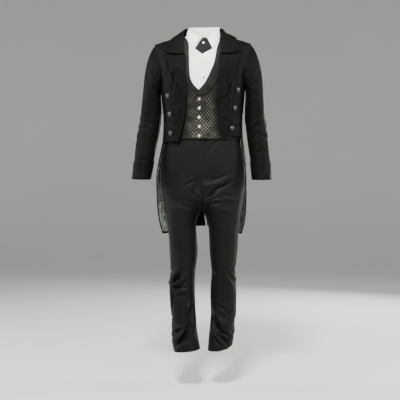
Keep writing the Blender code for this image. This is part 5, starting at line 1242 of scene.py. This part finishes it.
def seatOf(node):
    # the flat back of the frame's button, found as its largest level face, and its axis, radius and height
    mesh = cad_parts[node].data
    groups = {}
    for face in mesh.polygons:
        key = tuple(round(value, 2) for value in face.normal)
        total = groups.setdefault(key, [0.0, Vector((0.0, 0.0, 0.0)), face.normal.copy()])
        total[0] += face.area
        total[1] += face.center * face.area
    area, weighted, normal = max(groups.values(), key=lambda total: total[0])
    axis, centre = -normal, weighted / area
    spots = [vertex.co - centre for vertex in mesh.vertices]
    height = max(spot.dot(axis) for spot in spots)
    radius = max((spot - axis * spot.dot(axis)).length for spot in spots)
    return centre, axis, radius, height


def makeButtons():
    for kind, looks in buttonLooks.items():
        model = turnedPiece(kind + "_button_model", looks["rings"], looks["corners"])
        for node in buttonNodes[kind]:
            centre, axis, radius, height = seatOf(node)
            turn = axis.to_track_quat("Z", "Y").to_matrix().to_4x4()
            mesh = model.data.copy()
            mesh.transform(Matrix.Translation(centre) @ turn @ Matrix.Diagonal((radius, radius, height, 1.0)))
            piece = bpy.data.objects.new(node + "_turned", mesh)
            bpy.context.scene.collection.objects.link(piece)
            mesh.materials.append(finishes[buttonSlots[kind]])
            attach(piece, body)
            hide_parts(node)
        bpy.data.objects.remove(model)


makeButtons()
print("buttons turned:", sum(len(nodes) for nodes in buttonNodes.values()))


# Stitching: every stitch is a short thread, thick in its middle, laid on the cloth

stitchLooks = {"length": 0.0026, "gap": 0.0011, "width": 0.00035, "height": 0.00030, "sink": 0.00005}
# How near another piece makes an edge a seam, how far a stitch may be from the cloth, the widest step
# between two points of a row, the fewest points in a row, and how smooth thread is shaded, in degrees
rowLooks = {"seam": 0.0018, "near": 0.004, "step": 0.02, "fewest": 4, "smooth": 60}
# Rows along the edges: node, row from the edge, thread bundle, and whether seams are sewn through too
edgeRows = [
    ("coat_front", 0.0060, "coat", False), ("lapel", 0.0060, "coat", False),
    ("coat_back", 0.0070, "coat", False), ("tail_skirt", 0.0080, "coat", False),
    ("cuff", 0.0035, "coat", True),
    ("waistcoat_front", 0.0045, "waistcoat", False), ("waistcoat_collar", 0.0045, "waistcoat", False),
    ("collar_leaf", 0.0045, "shirt", False), ("pocket_edge", 0.0020, "trousers", True),
    ("braid", 0.0012, "trousers", True),
]
singleRows = [("coat_collar", 0.0060, "coat", False), ("shirt_placket", 0.0040, "shirt", True),
              ("trouser_waistband", 0.0030, "trousers", True)]
bundles = {name: {"corners": [], "faces": []} for name in ("coat", "waistcoat", "shirt", "trousers", "holes")}
bundleLooks = {"coat": ("coat_wool", darkThread), "waistcoat": ("brocade", darkThread),
               "shirt": ("shirt_cotton", whiteThread), "trousers": ("trouser_wool", darkThread),
               "holes": ("coat_wool", darkThread)}


def addStitch(bundle, start, end, up, width, height):
    # eight corners and two tips, raised on the cloth by its height
    along = end - start
    side = along.cross(up).normalized() * width
    rise = up * height
    base = len(bundle["corners"])
    ring = []
    for share in (0.2, 0.8):
        middle = start + along * share
        ring += [middle + side, middle + rise, middle - side, middle - rise * 0.4]
    bundle["corners"] += [start, *ring, end]
    for place in range(4):
        beside = (place + 1) % 4
        bundle["faces"] += [(base, base + 1 + beside, base + 1 + place),
                            (base + 1 + place, base + 1 + beside, base + 5 + beside, base + 5 + place),
                            (base + 5 + place, base + 5 + beside, base + 9)]


def surfaceTree(piece):
    mesh = piece.data
    return BVHTree.FromPolygons([vertex.co.copy() for vertex in mesh.vertices],
                                [list(face.vertices) for face in mesh.polygons])


def allNodesTree():
    corners, faces, owners = [], [], []
    for name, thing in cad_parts.items():
        start = len(corners)
        corners += [vertex.co.copy() for vertex in thing.data.vertices]
        faces += [[start + index for index in face.vertices] for face in thing.data.polygons]
        owners += [name] * len(thing.data.polygons)
    return BVHTree.FromPolygons(corners, faces), owners


everyNode, owners = allNodesTree()


def isFree(spot, node):
    # a free edge has no other piece within a seam's width
    return all(owners[index] == node or "button" in owners[index]
               for _, _, index, _ in everyNode.find_nearest_range(spot, rowLooks["seam"]))


def sewRow(bundle, spots, ups):
    # stitches at their own pitch along a line of spots on the cloth
    looks = stitchLooks
    reach = np.concatenate([[0.0], np.cumsum([(b - a).length for a, b in zip(spots, spots[1:])])])
    places, normals = np.array([spot[:] for spot in spots]), np.array([up[:] for up in ups])

    def at(distance):
        return (Vector([np.interp(distance, reach, places[:, axis]) for axis in range(3)]),
                Vector([np.interp(distance, reach, normals[:, axis]) for axis in range(3)]).normalized())

    here = looks["gap"]
    while here + looks["length"] < reach[-1]:
        (start, up), (end, _) = at(here), at(here + looks["length"])
        lift = up * -looks["sink"]
        addStitch(bundle, start + lift, end + lift, up, looks["width"], looks["height"])
        here += looks["length"] + looks["gap"]


def stitchEdges(node, inset, bundle, through):
    tree = surfaceTree(shells[node])
    for line, push in edgeLines[node]:
        spots, ups = [], []
        for spot, out in list(zip(line, push)) + [(None, None)]:
            placed = None
            if spot is not None and (through or isFree(Vector(spot), node)):
                placed, normal, _, _ = tree.find_nearest(Vector(spot - out * inset), rowLooks["near"])
            if placed is not None and (not spots or (placed - spots[-1]).length < rowLooks["step"]):
                spots.append(placed)
                ups.append(normal)
                continue
            if len(spots) > rowLooks["fewest"]:
                sewRow(bundles[bundle], spots, ups)
            spots, ups = ([placed], [normal]) if placed is not None else ([], [])


# The curved row that holds the fly, as x and height on the front of the left leg
flyRow = ((0.0365, -0.466), (0.0368, -0.520), (0.0362, -0.570), (0.0335, -0.604), (0.0270, -0.630),
          (0.0170, -0.647), (0.0060, -0.656))
flySteps = 6  # points of the row between two of these
# Buttonholes of the coat's left front: x, height, slope in degrees and length
buttonHoles = ((0.0950, -0.2790, 24, 0.019), (0.0860, -0.3120, 10, 0.019), (0.0880, -0.3480, -12, 0.019),
               (0.1010, -0.3790, -26, 0.019))
holeLooks = {"slit": 0.00036, "bars": 34, "barWidth": 0.00030, "barHeight": 0.00026, "barLength": 0.0011,
             "fans": 7}


def frontSpot(tree, x, height):
    hit, normal, _, _ = tree.ray_cast(Vector((x, -1.0, height)), Vector((0.0, 1.0, 0.0)))
    return hit, normal


def stitchFly():
    tree = surfaceTree(shells["trouser_front_l"])
    spots, ups = [], []
    for (x, height), (nextX, nextHeight) in zip(flyRow, flyRow[1:]):
        for step in range(flySteps):
            share = step / flySteps
            hit, normal = frontSpot(tree, x + (nextX - x) * share, height + (nextHeight - height) * share)
            spots.append(hit)
            ups.append(normal)
    sewRow(bundles["trousers"], spots, ups)


def workButtonHoles():
    # short threads side by side round a slit, fanned out at its two ends
    tree = surfaceTree(shells["coat_front_l"])
    bundle = bundles["holes"]
    for x, height, slope, length in buttonHoles:
        turn = math.radians(slope)
        way = (math.cos(turn), math.sin(turn))
        reach = holeLooks["slit"] + holeLooks["barLength"]
        half = length / 2 - reach

        def spot(along, off):
            return frontSpot(tree, x + way[0] * along - way[1] * off, height + way[1] * along + way[0] * off)

        for upper in (1, -1):
            for bar in range(holeLooks["bars"]):
                along = (bar / holeLooks["bars"] - 0.5) * 2 * half
                inner, up = spot(along, upper * holeLooks["slit"])
                outer, _ = spot(along, upper * (holeLooks["slit"] + holeLooks["barLength"]))
                addStitch(bundle, inner, outer, up, holeLooks["barWidth"], holeLooks["barHeight"])
        for end in (-1, 1):
            for fan in range(holeLooks["fans"]):
                angle = math.pi * (fan + 0.5) / holeLooks["fans"] - math.pi / 2
                inner, up = spot(end * half, 0.0)
                outer, _ = spot(end * (half + reach * math.cos(angle)), reach * math.sin(angle))
                addStitch(bundle, inner, outer, up, holeLooks["barWidth"], holeLooks["barHeight"])


def makeThread(name):
    bundle = bundles[name]
    slot, paint = bundleLooks[name]
    mesh = bpy.data.meshes.new(name + "_stitching")
    mesh.from_pydata([corner[:] for corner in bundle["corners"]], [], bundle["faces"])
    mesh.update()
    piece = bpy.data.objects.new(name + "_stitching", mesh)
    bpy.context.scene.collection.objects.link(piece)
    mesh.materials.append(paint)
    onlySelect(piece)
    bpy.ops.object.shade_smooth_by_angle(angle=math.radians(rowLooks["smooth"]))
    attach(piece, body)
    print("stitches of the", name + ":", len(bundle["corners"]) // 10)


for node, inset, bundle, through in edgeRows:
    for side in sides:
        stitchEdges(node + "_" + side, inset, bundle, through)
for node, inset, bundle, through in singleRows:
    stitchEdges(node, inset, bundle, through)
stitchFly()
workButtonHoles()
for name in bundles:
    makeThread(name)


leastCut = 0.011


def declareCloth():
    for node, piece in shells.items():
        width, length, area = flats[piece.name]
        width, length = round(max(width, leastCut), 3), round(length, 3)
        print("cut:", node, width, length, round(area, 4))


declareCloth()


# Camera, floor and lamps

def aim(thing, target):
    thing.rotation_mode = "QUATERNION"
    thing.rotation_quaternion = (Vector(target) - thing.location).to_track_quat("-Z", "Y")


def makeCamera():
    turn = math.radians(cameraView["turn"])
    data = bpy.data.cameras.new("camera")
    camera = bpy.data.objects.new("camera", data)
    bpy.context.scene.collection.objects.link(camera)
    data.lens = cameraView["focal"]
    data.sensor_width = cameraView["sensor"]
    away = Vector((math.sin(turn), -math.cos(turn), 0.0)) * cameraView["distance"]
    camera.location = Vector(cameraView["target"]) + away
    aim(camera, cameraView["target"])
    data.clip_start = cameraView["nearest"]
    data.clip_end = cameraView["farthest"]
    bpy.context.scene.camera = camera


def makeFloor():
    bpy.ops.object.select_all(action="DESELECT")
    floor = turnedPiece("floor", stage["rings"], stage["corners"], closed=False)
    floor.data.transform(Matrix.Translation((0.0, 0.0, stage["floorHeight"])))
    floor.data.materials.append(floorPaint())


def makeLamps():
    for lamp in lamps:
        data = bpy.data.lights.new(lamp["name"], "AREA")
        data.shape = "SQUARE"
        data.size = lamp["size"]
        data.energy = lamp["power"]
        thing = bpy.data.objects.new(lamp["name"], data)
        bpy.context.scene.collection.objects.link(thing)
        thing.location = lamp["at"]
        aim(thing, lamp["aim"])
    world = bpy.context.scene.world or bpy.data.worlds.new("studio")
    bpy.context.scene.world = world
    world.use_nodes = True
    sky = world.node_tree.nodes["Background"]
    sky.inputs["Color"].default_value = (*stage["skyColour"], 1.0)
    sky.inputs["Strength"].default_value = stage["skyPower"]


makeCamera()
makeFloor()
makeLamps()
print("camera, floor and lamps set")
